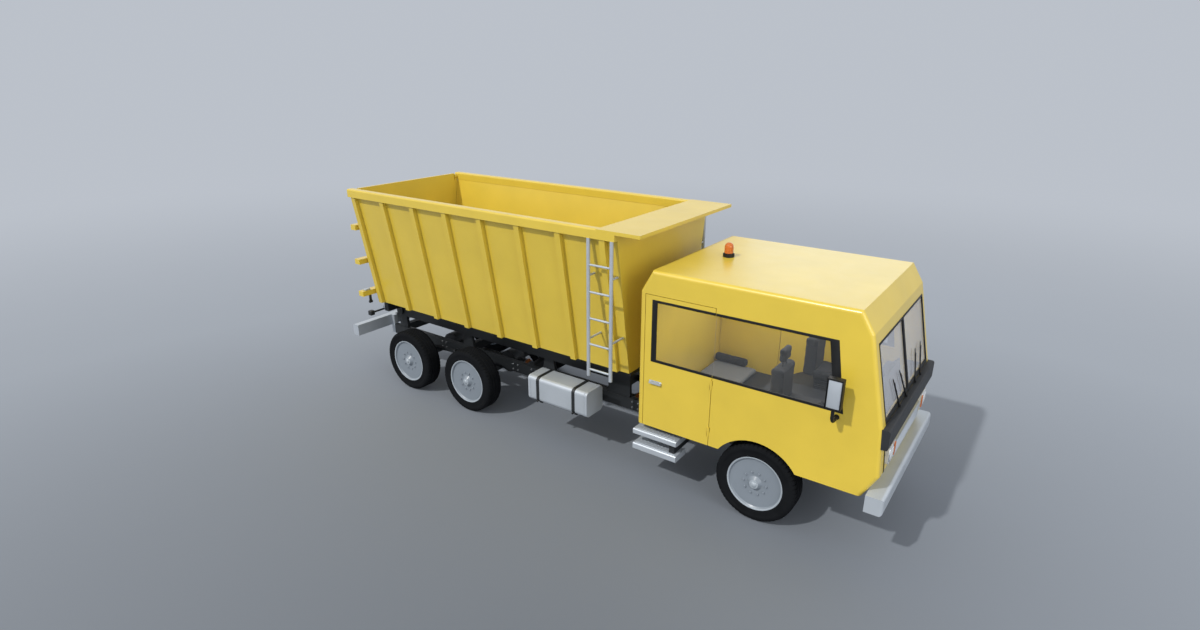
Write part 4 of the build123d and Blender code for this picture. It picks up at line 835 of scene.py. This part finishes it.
def headlamps():
    """Chrome ring, domed main lens and amber side lens on each lamp unit."""
    ring_rows = [(out, BEAM_RADIUS + wider) for out, wider in BEAM_RING_ROWS]
    dome_rows = []
    for step in reversed(range(BEAM_DOME_STEPS + 1)):
        angle = step * math.pi / (2 * BEAM_DOME_STEPS)
        dome_rows.append((BEAM_DOME_FOOT + BEAM_DOME_RISE * math.cos(angle), BEAM_RADIUS * math.sin(angle)))
    turn_z = within(HEADLAMP_Z, TURN_LAMP_MARGIN)
    for name, side in SIDES:
        centre = (HEADLAMP_X, side * BEAM_Y, BEAM_Z)
        bm = bmesh.new()
        spin(bm, ring_rows, centre, (1, 0, 0), BEAM_SIDES, ring=True)
        piece_of(bm, f"headlamp_ring_{name}", "silver_metal", finish=CHROME)
        bm = bmesh.new()
        spin(bm, dome_rows, centre, (1, 0, 0), BEAM_SIDES)
        piece_of(bm, f"headlamp_dome_{name}", "lamp_glass")
        bm = bmesh.new()
        block(bm, TURN_LAMP_X, sided(side, *TURN_LAMP_Y), turn_z, rounding=0.006, steps=3)
        piece_of(bm, f"turn_lamp_{name}", "amber_lens")


def wiper_blades():
    """Jointed holder and rubber blade along the upper half of each arm."""
    bm = bmesh.new()
    drop = Vector(BLADE_DROP)
    for foot_y, tip_y in WIPER_PLACES:
        foot = front_place(foot_y, WIPER_Z[0], WIPER_REACH)
        tip = front_place(tip_y, WIPER_Z[1], WIPER_REACH)
        pivot = [foot + Vector((out, 0, 0)) for out in WIPER_PIVOT_X]
        rod(bm, *pivot, radius=0.020, steps=16)
        lean = (tip - foot).normalized()
        start, end = (tip + lean * reach for reach in BLADE_ENDS)
        rod(bm, start + drop, end + drop, radius=0.006)
        for share in BLADE_JOINTS:
            joint = start.lerp(end, share)
            rod(bm, joint - lean * BLADE_JOINT_HALF, joint + lean * BLADE_JOINT_HALF, radius=0.0105)
    piece_of(bm, "wiper_blades", "black_trim")


def arm_points(side):
    """Middle line of the mirror's tube, down from its housing and in to the cab."""
    x = sum(MIRROR_X) / 2
    y = sum(MIRROR_Y) / 2
    points = [(x, side * y, MIRROR_Z[0] + MIRROR_ARM_SEAT)]
    for step in range(MIRROR_ARM_STEPS + 1):
        angle = step * math.pi / (2 * MIRROR_ARM_STEPS)
        points.append((x, side * (y - MIRROR_ARM_BEND * (1 - math.cos(angle))),
                       MIRROR_ARM_Z + MIRROR_ARM_BEND * (1 - math.sin(angle))))
    return points + [(x, side * CAB_HALF, MIRROR_ARM_Z)]


def mirrors():
    """Housing with a silver cover in its outer face and a glass in its back."""
    housing = bmesh.new()
    cover = bmesh.new()
    x = MIRROR_X
    rim = MIRROR_RIM
    clear_z = within(MIRROR_Z, rim)
    for _, side in SIDES:
        y = sided(side, *MIRROR_Y)
        face = side * (MIRROR_Y[1] - MIRROR_RECESS)
        deep_y = sided(side, MIRROR_Y[0], MIRROR_Y[1] - MIRROR_RECESS)
        block(housing, (x[0] + MIRROR_RECESS, x[1]), deep_y, MIRROR_Z, rounding=0.006)
        insets = ((0, 0), (rim, rim))
        front = [[(end, face, up) for end, up in rectangle(x, MIRROR_Z, inset)] for inset in insets]
        band(housing, *front, (0, side * MIRROR_RECESS, 0))
        insets = ((0, 0), (MIRROR_BACK_RIM, rim))
        back = [[(x[0], *corner) for corner in rectangle(y, MIRROR_Z, inset)] for inset in insets]
        band(housing, *back, (MIRROR_RECESS, 0, 0))
        hose(housing, arm_points(side), MIRROR_ARM_RADIUS, steps=20)
        flange = [(sum(x) / 2, side * (CAB_HALF + out), MIRROR_ARM_Z) for out in (0, MIRROR_FLANGE_DEPTH)]
        rod(housing, *flange, radius=0.030, steps=24)
        cover_y = sorted((face, face + side * MIRROR_COVER))
        block(cover, within(x, rim), cover_y, clear_z, rounding=0.0015)
        glass_y = within(y, MIRROR_BACK_RIM)
        block(cover, (x[0] + MIRROR_GLASS_X, x[0] + MIRROR_RECESS), glass_y, clear_z, rounding=0.001)
    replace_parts(piece_of(housing, "mirror_housings", "black_trim"), "mirrors")
    piece_of(cover, "mirror_faces", "silver_metal")


def beacon_trim():
    """Ridges on the beacon's drum, its ring and the bolts of its foot."""
    centre = Vector((BEACON_X, 0, CAB_TOP + BEACON_FOOT))
    bm = bmesh.new()
    for z in RIDGES_Z:
        spin(bm, [(z + up, radius) for up, radius in RIDGE_ROWS], centre, UP, BEACON_SIDES, ring=True)
    piece_of(bm, "beacon_ridges", "amber_lens")
    bm = bmesh.new()
    spin(bm, BEACON_RING_ROWS, centre, UP, BEACON_SIDES, ring=True)
    for cos, sin in circle(BEACON_BOLTS):
        bolt = centre + Vector((cos * BEACON_BOLT_CIRCLE, sin * BEACON_BOLT_CIRCLE, -BEACON_BOLT_DROP))
        spin(bm, BEACON_BOLT_ROWS, bolt, UP, HEXAGON)
    piece_of(bm, "beacon_ring", "black_trim")


def handle_plates():
    """Plate behind each door handle."""
    for name, side in SIDES:
        bm = bmesh.new()
        y = sided(side, CAB_HALF, CAB_HALF + HANDLE_DEPTH)
        block(bm, HANDLE_X, y, HANDLE_Z, rounding=0.0018)
        piece_of(bm, f"handle_plate_{name}", "silver_metal", f"{name}_door")


# Bed, tailgate and chassis

def wall_place(x, z, side):
    """Point on the sloping outer face of the bed's wall."""
    share = (z - WALL_Z[0]) / (WALL_Z[1] - WALL_Z[0])
    return Vector((x, side * (WALL_Y[0] + share * (WALL_Y[1] - WALL_Y[0])), z))


def bed_rivets():
    """Rows of domed rivets in the wall beside each rib."""
    rows = [(height, RIVET_RADIUS * share) for height, share in RIVET_ROWS]
    low, high = within(WALL_Z, RIVET_MARGIN)
    for name, side in SIDES:
        bm = bmesh.new()
        for rib in range(RIB_COUNT):
            for x in spread(RIB_FIRST + rib * RIB_PITCH, RIVET_OFFSET):
                for index in range(RIVET_COUNT):
                    z = low + index * (high - low) / (RIVET_COUNT - 1)
                    spin(bm, rows, wall_place(x, z, side), (0, side, WALL_LEAN), steps=8)
        piece_of(bm, f"bed_rivets_{name}", "yellow_paint", "bed")


def gate_latches():
    """Struts and plates on the gate's lowest bar, and levers at the bed's rear corners."""
    struts, bar_plates, levers, mounts = (bmesh.new() for _ in range(4))
    strut_x = spread(LATCH_X, STRUT_HALF_X)
    plate_x = spread(LATCH_X, BAR_PLATE_HALF)
    plate_z = (GATE_BAR_Z[1], GATE_BAR_Z[1] + BAR_PLATE_DEPTH)
    head_x = spread(LEVER_X, LEVER_HEAD_X)
    head_z = spread(LEVER_Z, LEVER_HEAD_Z)
    mount_x = (LEVER_X - LEVER_MOUNT_X, BED_REAR_X)
    for _, side in SIDES:
        strut_y = sided(side, *spread(LATCH_Y, STRUT_HALF_Y))
        block(struts, strut_x, strut_y, (LATCH_FOOT, GATE_BAR_Z[0]), rounding=0.005)
        eye = (LATCH_X, side * LATCH_Y, LATCH_FOOT + STRUT_EYE_Z)
        spin(struts, STRUT_EYE_ROWS, eye, (0, 1, 0), steps=20)
        plate_y = sided(side, LATCH_Y, LATCH_Y + BAR_PLATE_WIDTH)
        block(bar_plates, plate_x, plate_y, plate_z, LATCH_ROUND)
        rod(levers, *[(LEVER_X, side * y, LEVER_Z) for y in LEVER_Y], radius=0.017, steps=16)
        head_y = sided(side, LEVER_Y[1], LEVER_Y[1] + LEVER_HEAD_Y)
        block(levers, head_x, head_y, head_z, rounding=0.012, steps=3)
        block(mounts, mount_x, sided(side, *LEVER_MOUNT_Y), LEVER_MOUNT_Z, LATCH_ROUND)
    piece_of(struts, "gate_struts", "black_paint", "gate")
    piece_of(bar_plates, "gate_bar_plates", "silver_metal", "gate")
    piece_of(levers, "latch_levers", "black_paint", "bed")
    piece_of(mounts, "latch_mounts", "silver_metal", "bed")


def tank_seam(x, side):
    """Closed run of points round a tank's rounded section."""
    half_y, half_z = ((high - low) / 2 - TANK_ROUND for low, high in (TANK_Y, TANK_Z))
    points = []
    for corner, (sign_y, sign_z) in enumerate(((1, 1), (-1, 1), (-1, -1), (1, -1))):
        for step in range(SEAM_STEPS + 1):
            angle = (corner + step / SEAM_STEPS) * math.pi / 2
            y = sum(TANK_Y) / 2 + sign_y * half_y + TANK_ROUND * math.cos(angle)
            z = sum(TANK_Z) / 2 + sign_z * half_z + TANK_ROUND * math.sin(angle)
            points.append((x, side * y, z))
    return points + points[:1]


def tank_fittings():
    """Filler cap on the left tank, strap bolts and the seams near each tank's ends."""
    metal = bmesh.new()
    dark = bmesh.new()
    spin(dark, CAP_ROWS, (TANK_X[1] - CAP_INSET, sum(TANK_Y) / 2, TANK_Z[1]), UP, steps=24)
    for _, side in SIDES:
        for x in within(TANK_X, SEAM_INSET):
            hose(metal, tank_seam(x, side), radius=0.006, steps=8)
        for x in STRAPS_X:
            spot = (x, side * (TANK_Y[1] + STRAP_PROUD), TANK_Z[0] + STRAP_BOLT_Z)
            spin(dark, STRAP_BOLT_ROWS, spot, (0, side, 0), HEXAGON)
    piece_of(metal, "tank_seams", "silver_metal")
    piece_of(dark, "tank_caps", "black_trim")


def step_grips():
    """Raised buttons and two ribs on each cab step."""
    bm = bmesh.new()
    first_x, pitch_x, count_x = BUTTONS_X
    first_y, pitch_y, count_y = BUTTONS_Y
    ribs_y = within(STEP_Y, STEP_RIB_INSET_Y)
    ribs_x = within(STEP_X, STEP_RIB_INSET_X)
    for _, side in SIDES:
        for top in STEP_TOPS:
            for column in range(count_x):
                for row in range(count_y):
                    x = STEP_X[0] + first_x + column * pitch_x
                    y = STEP_Y[0] + first_y + row * pitch_y
                    spin(bm, BUTTON_ROWS, (x, side * y, top), UP, steps=10)
            for y in ribs_y:
                rod(bm, *[(x, side * y, top) for x in ribs_x], radius=0.005)
    piece_of(bm, "step_grips", "silver_metal")


def drive_joints():
    """Crosses of the drive shaft's joints, each in a ring."""
    bm = bmesh.new()
    for x in CROSSES_X:
        centre = Vector((x, 0, AXLE_Z))
        for way in (Vector((0, 1, 0)), Vector(UP)):
            reach = way * CROSS_HALF
            rod(bm, centre - reach, centre + reach, radius=0.030, steps=16, chamfer=0.004)
        spin(bm, YOKE_ROWS, centre, (1, 0, 0), ring=True)
    piece_of(bm, "drive_joints", "grey_steel", finish=RUSTED)


def frame_bolts():
    """Hexagon heads in the rails' webs at each post and bracket."""
    bm = bmesh.new()
    for _, side in SIDES:
        for x in BOLTS_X:
            for offset in BOLT_OFFSETS:
                for z in BOLTS_Z:
                    spin(bm, BOLT_ROWS, (x + offset, side * RAIL_FACE, z), (0, side, 0), HEXAGON)
    piece_of(bm, "frame_bolts", "grey_steel", sharp=25)


def spring_clamps():
    """U-bolts over the front springs and the bogie springs."""
    bm = bmesh.new()
    for x, y, low, high in CLAMP_PLACES:
        for _, side in SIDES:
            for offset in CLAMP_OFFSETS:
                bolt_x = x + offset
                for edge in CLAMP_LEGS:
                    foot = Vector((bolt_x, side * (y + edge), low))
                    rod(bm, foot, foot + Vector((0, 0, high - low)), CLAMP_RADIUS)
                    spin(bm, CLAMP_NUT_ROWS, foot + Vector((0, 0, CLAMP_NUT_Z)), UP, HEXAGON)
                ends = [(bolt_x, side * (y + edge), high - CLAMP_BRIDGE_DROP) for edge in CLAMP_BRIDGE]
                rod(bm, *ends, CLAMP_RADIUS)
    piece_of(bm, "spring_clamps", "grey_steel")


def tail_lenses():
    """Amber, red and clear fields on each tail lamp, in a dark rim."""
    rim_z = spread(TAIL_Z, TAIL_HALF)
    lens_z = spread(TAIL_Z, TAIL_LENS_HALF)
    for name, side in SIDES:
        bm = bmesh.new()
        outlines = [rectangle(TAIL_Y, rim_z, (inset, inset)) for inset in (0, TAIL_RIM)]
        loops = [[(TAIL_X, side * y, z) for y, z in outline] for outline in outlines]
        band(bm, *loops, TAIL_RIM_DEPTH)
        piece_of(bm, f"tail_lamp_rim_{name}", "black_trim")
        for field, slot, low, high in TAIL_FIELDS:
            bm = bmesh.new()
            block(bm, TAIL_LENS_X, sided(side, low, high), lens_z, rounding=0.0015)
            piece_of(bm, f"tail_{field}_{name}", slot)


# Cabin

def evaluated(piece):
    """Mesh of a piece with its modifiers applied."""
    graph = bpy.context.evaluated_depsgraph_get()
    return bpy.data.meshes.new_from_object(piece.evaluated_get(graph))


def remeshed(name, x, y, z, rounding, voxel):
    """Rounded block as an even mesh, in an object of its own."""
    bm = bmesh.new()
    block(bm, x, y, z, rounding, steps=4)
    mesh = bpy.data.meshes.new(name)
    bm.to_mesh(mesh)
    bm.free()
    rough = bpy.data.objects.new(f"{name}_rough", mesh)
    bpy.context.collection.objects.link(rough)
    even = rough.modifiers.new("even", "REMESH")
    even.mode = "VOXEL"
    even.voxel_size = voxel
    made = bpy.data.objects.new(f"{name}_pad", evaluated(rough))
    bpy.data.objects.remove(rough)
    bpy.context.collection.objects.link(made)
    return made


def swollen(pad):
    """Mesh of a pad blown up by a short cloth simulation."""
    swell = pad.modifiers.new("swell", "CLOTH")
    swell.settings.use_pressure = True
    swell.settings.uniform_pressure_force = 4.0
    swell.settings.effector_weights.gravity = 0
    swell.settings.quality = 4
    swell.point_cache.frame_start = 1
    swell.point_cache.frame_end = PAD_FRAMES
    scene = bpy.context.scene
    for step in range(1, PAD_FRAMES + 1):
        scene.frame_set(step)
    mesh = evaluated(pad)
    scene.frame_set(1)
    return mesh


def padded_mesh(name, x, y, z, voxel, channels, cap, rounding):
    """Crowned pad inside a box of places, sewn down along its channels."""
    box = ([value + FRONT_AXLE_X for value in x], y, z)
    pad = remeshed(name, *[within(ends, cap * PAD_INSET_SHARE) for ends in box], rounding, voxel)
    start = [vert.co.copy() for vert in pad.data.vertices]
    mesh = swollen(pad)
    bpy.data.objects.remove(pad)
    for vert, before in zip(mesh.vertices, start):
        move = vert.co - before
        if move.length > cap:
            move *= cap / move.length
        moved = before + move
        for axis, line, depth in channels:
            away = (moved[axis] - line - (FRONT_AXLE_X if axis == 0 else 0)) / CHANNEL_HALF
            sunk = 0 if axis == 2 else 2
            outward = 1 if moved[sunk] > sum(box[sunk]) / 2 else -1
            moved[sunk] -= depth * math.exp(-away * away) * outward
        vert.co = [min(max(value, low), high) for value, (low, high) in zip(moved, box)]
    return mesh


def pad_piece(name, mesh, slot, shift=0.0):
    """Padded piece of a simulated mesh, moved sideways, with one subdivision."""
    mesh.transform(Matrix.Translation((0, shift, 0)))
    dress(mesh, MATERIALS[slot], sharp=180)
    piece = place(name, mesh, "chassis")
    finer = piece.modifiers.new("finer", "SUBSURF")
    finer.levels = 1
    finer.render_levels = 1
    return piece


def pedestal(bm, side):
    """Box from a seat down to the wheel well, with a foot beside the well."""
    low, high = PEDESTAL_X
    outline = [(low, BELLOWS_Z[0]), (high, BELLOWS_Z[0])]
    for step in range(WELL_STEPS + 1):
        x = high + (low - high) * step / WELL_STEPS
        outline.append((x, AXLE_Z + math.sqrt(WELL_RADIUS ** 2 - x ** 2)))
    prism(bm, outline, [side * y for y in (WELL_INNER_Y, PEDESTAL_Y[1])])
    foot_y = sided(side, PEDESTAL_Y[0], WELL_INNER_Y)
    block(bm, PEDESTAL_X, foot_y, (CAB_FLOOR, BELLOWS_Z[0]))


def seat_frame(bm, side):
    """Base under the cushion, bellows, pedestal and the headrest's stalks."""
    base_y = sided(side, *within(SEAT_Y, BASE_INSET_Y))
    block(bm, BASE_X, base_y, BASE_Z, rounding=0.006)
    pedestal(bm, side)
    pitch = (BELLOWS_Z[1] - BELLOWS_Z[0]) / BELLOWS_COUNT
    for step in range(BELLOWS_COUNT):
        z = BELLOWS_Z[0] + step * pitch
        block(bm, PEDESTAL_X, sided(side, *PEDESTAL_Y), (z, z + pitch), rounding=0.009, steps=3)
    for y in within(HEADREST_Y, STALK_INSET):
        rod(bm, *[(STALK_X, side * y, z) for z in STALK_Z], radius=0.007)


def seats():
    """Two seats: pads from one simulation each, and their frames."""
    pieces = []
    for name, *values in SEAT_PADS:
        mesh = padded_mesh(name, *values)
        twin = mesh.copy()
        pieces.append(pad_piece(f"{name}_left", mesh, "seat_cloth"))
        pad_piece(f"{name}_right", twin, "seat_cloth", -sum(SEAT_Y))
    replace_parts(pieces[0], "seats")
    frames = bmesh.new()
    for _, side in SIDES:
        seat_frame(frames, side)
    piece_of(frames, "seat_frames", "dark_plastic")


def bunk():
    """Mattress behind the seats and the bolster at its left end."""
    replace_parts(pad_piece("bunk_mattress", padded_mesh(*BUNK_PAD), "bunk_cloth"), "bunk")
    pad_piece("bunk_bolster", padded_mesh(*BOLSTER_PAD), "seat_cloth")


def dashboard_fittings():
    """Hooded dial panel, vents and a row of switches on the dash."""
    dark = bmesh.new()
    bright = bmesh.new()
    block(dark, HOOD_X, HOOD_Y, HOOD_Z, rounding=0.018, steps=3)
    for y in DIALS_Y:
        spin(bright, DIAL_ROWS, (HOOD_X[0], y, DIAL_Z), (-1, 0, 0), steps=28)
    first_z, pitch_z, thickness = VENT_BAR_Z
    for y in VENTS_Y:
        block(dark, VENT_X, spread(y, VENT_HALF), VENT_Z, rounding=0.004)
        for step in range(VENT_BARS):
            z = first_z + step * pitch_z
            bar_y = spread(y, VENT_BAR_HALF)
            block(bright, VENT_BAR_X, bar_y, (z, z + thickness), rounding=0.001, steps=1)
    first_y, pitch_y, width = SWITCH_Y
    for step in range(SWITCH_COUNT):
        y = first_y + step * pitch_y
        block(dark, SWITCH_X, (y, y + width), SWITCH_Z, rounding=0.003)
    piece_of(dark, "dash_panel", "dark_plastic")
    piece_of(bright, "dash_dials", "grey_steel")


# Scene

def camera():
    """Camera at the photograph's place, turned by its yaw, pitch and roll."""
    data = bpy.data.cameras.new("camera")
    data.sensor_fit = "HORIZONTAL"
    data.sensor_width = CAMERA_SENSOR
    data.lens = CAMERA_LENS
    data.clip_end = 300
    made = bpy.data.objects.new("camera", data)
    bpy.context.collection.objects.link(made)
    flat = math.cos(CAMERA_PITCH)
    ahead = Vector((math.sin(CAMERA_YAW) * flat, math.cos(CAMERA_YAW) * flat, math.sin(CAMERA_PITCH)))
    right = ahead.cross(Vector(UP)).normalized()
    right = Matrix.Rotation(CAMERA_ROLL, 3, ahead) @ right
    turned = Matrix((right, right.cross(ahead), -ahead)).transposed().to_4x4()
    made.matrix_world = Matrix.Translation(CAMERA_PLACE) @ turned
    bpy.context.scene.camera = made


def lamp(kind, name, spot, target, energy, size, colour):
    """Lamp at a spot, facing a target; its size is an area's side or the sun's angle."""
    data = bpy.data.lights.new(name, kind)
    data.energy = energy
    data.color = colour
    if kind == "AREA":
        data.size = size
    else:
        data.angle = size
    made = bpy.data.objects.new(name, data)
    made.location = spot
    made.rotation_euler = (Vector(target) - Vector(spot)).to_track_quat("-Z", "Y").to_euler()
    made.visible_camera = False
    bpy.context.collection.objects.link(made)


def floor_finish():
    """Grey that grows paler outward and fades into the backdrop's glow."""
    made, shader = material("floor", FLOOR_NEAR, roughness=0.7)
    vary_roughness(made, shader, object_noise(made, scale=0.6), low=0.65, high=0.8)
    spot = node(made, "ShaderNodeTexCoord")
    distance = node(made, "ShaderNodeVectorMath", operation="LENGTH")
    link(made, spot.outputs["Object"], distance.inputs[0])
    mapped = node(made, "ShaderNodeMapRange", From_Max=FLOOR_SPREAD)
    link(made, distance.outputs["Value"], mapped.inputs["Value"])
    colours = ramp(made, mapped.outputs["Result"], ((0.0, FLOOR_NEAR), (1.0, FLOOR_FAR)))
    link(made, colours.outputs["Color"], shader.inputs["Base Color"])
    start, end = FLOOR_FADE
    fade = node(made, "ShaderNodeMapRange", interpolation_type="SMOOTHSTEP", From_Min=start, From_Max=end)
    link(made, distance.outputs["Value"], fade.inputs["Value"])
    glow = node(made, "ShaderNodeEmission", Color=(*BACKDROP, 1))
    mixed = node(made, "ShaderNodeMixShader")
    link(made, fade.outputs["Result"], mixed.inputs["Fac"])
    link(made, shader.outputs["BSDF"], mixed.inputs[1])
    link(made, glow.outputs["Emission"], mixed.inputs[2])
    link(made, mixed.outputs["Shader"], made.node_tree.nodes["Material Output"].inputs["Surface"])
    return made


def floor():
    """Round floor, wide enough that no edge shows."""
    bm = bmesh.new()
    bmesh.ops.create_circle(bm, cap_ends=True, segments=96, radius=90)
    mesh = bpy.data.meshes.new("floor")
    bm.to_mesh(mesh)
    bm.free()
    mesh.materials.append(floor_finish())
    piece = bpy.data.objects.new("floor", mesh)
    piece.location = FLOOR_CENTRE
    bpy.context.collection.objects.link(piece)


def surroundings():
    """Floor, sky and lamps."""
    floor()
    world = bpy.data.worlds.new("sky")
    bpy.context.scene.world = world
    world.use_nodes = True
    way = node(world, "ShaderNodeTexCoord")
    parts = node(world, "ShaderNodeSeparateXYZ")
    link(world, way.outputs["Generated"], parts.inputs["Vector"])
    colours = ramp(world, parts.outputs["Z"], SKY_ROWS)
    sky = world.node_tree.nodes["Background"]
    link(world, colours.outputs["Color"], sky.inputs["Color"])
    sky.inputs["Strength"].default_value = SKY_STRENGTH
    sun_place = -Vector(SUN_TRAVEL) * SUN_DISTANCE
    lamp("SUN", "sun", sun_place, (0, 0, 0), SUN_STRENGTH, SUN_ANGLE, SUN_COLOUR)
    for values in AREA_LAMPS:
        lamp("AREA", *values)


camera()
surroundings()
dress_nodes()
wheels()
window_frames()
screen_frames()
grille()
headlamps()
wiper_blades()
mirrors()
beacon_trim()
handle_plates()
bed_rivets()
gate_latches()
tank_fittings()
step_grips()
drive_joints()
frame_bolts()
spring_clamps()
tail_lenses()
seats()
bunk()
dashboard_fittings()
bpy.context.scene.view_settings.view_transform = "Standard"
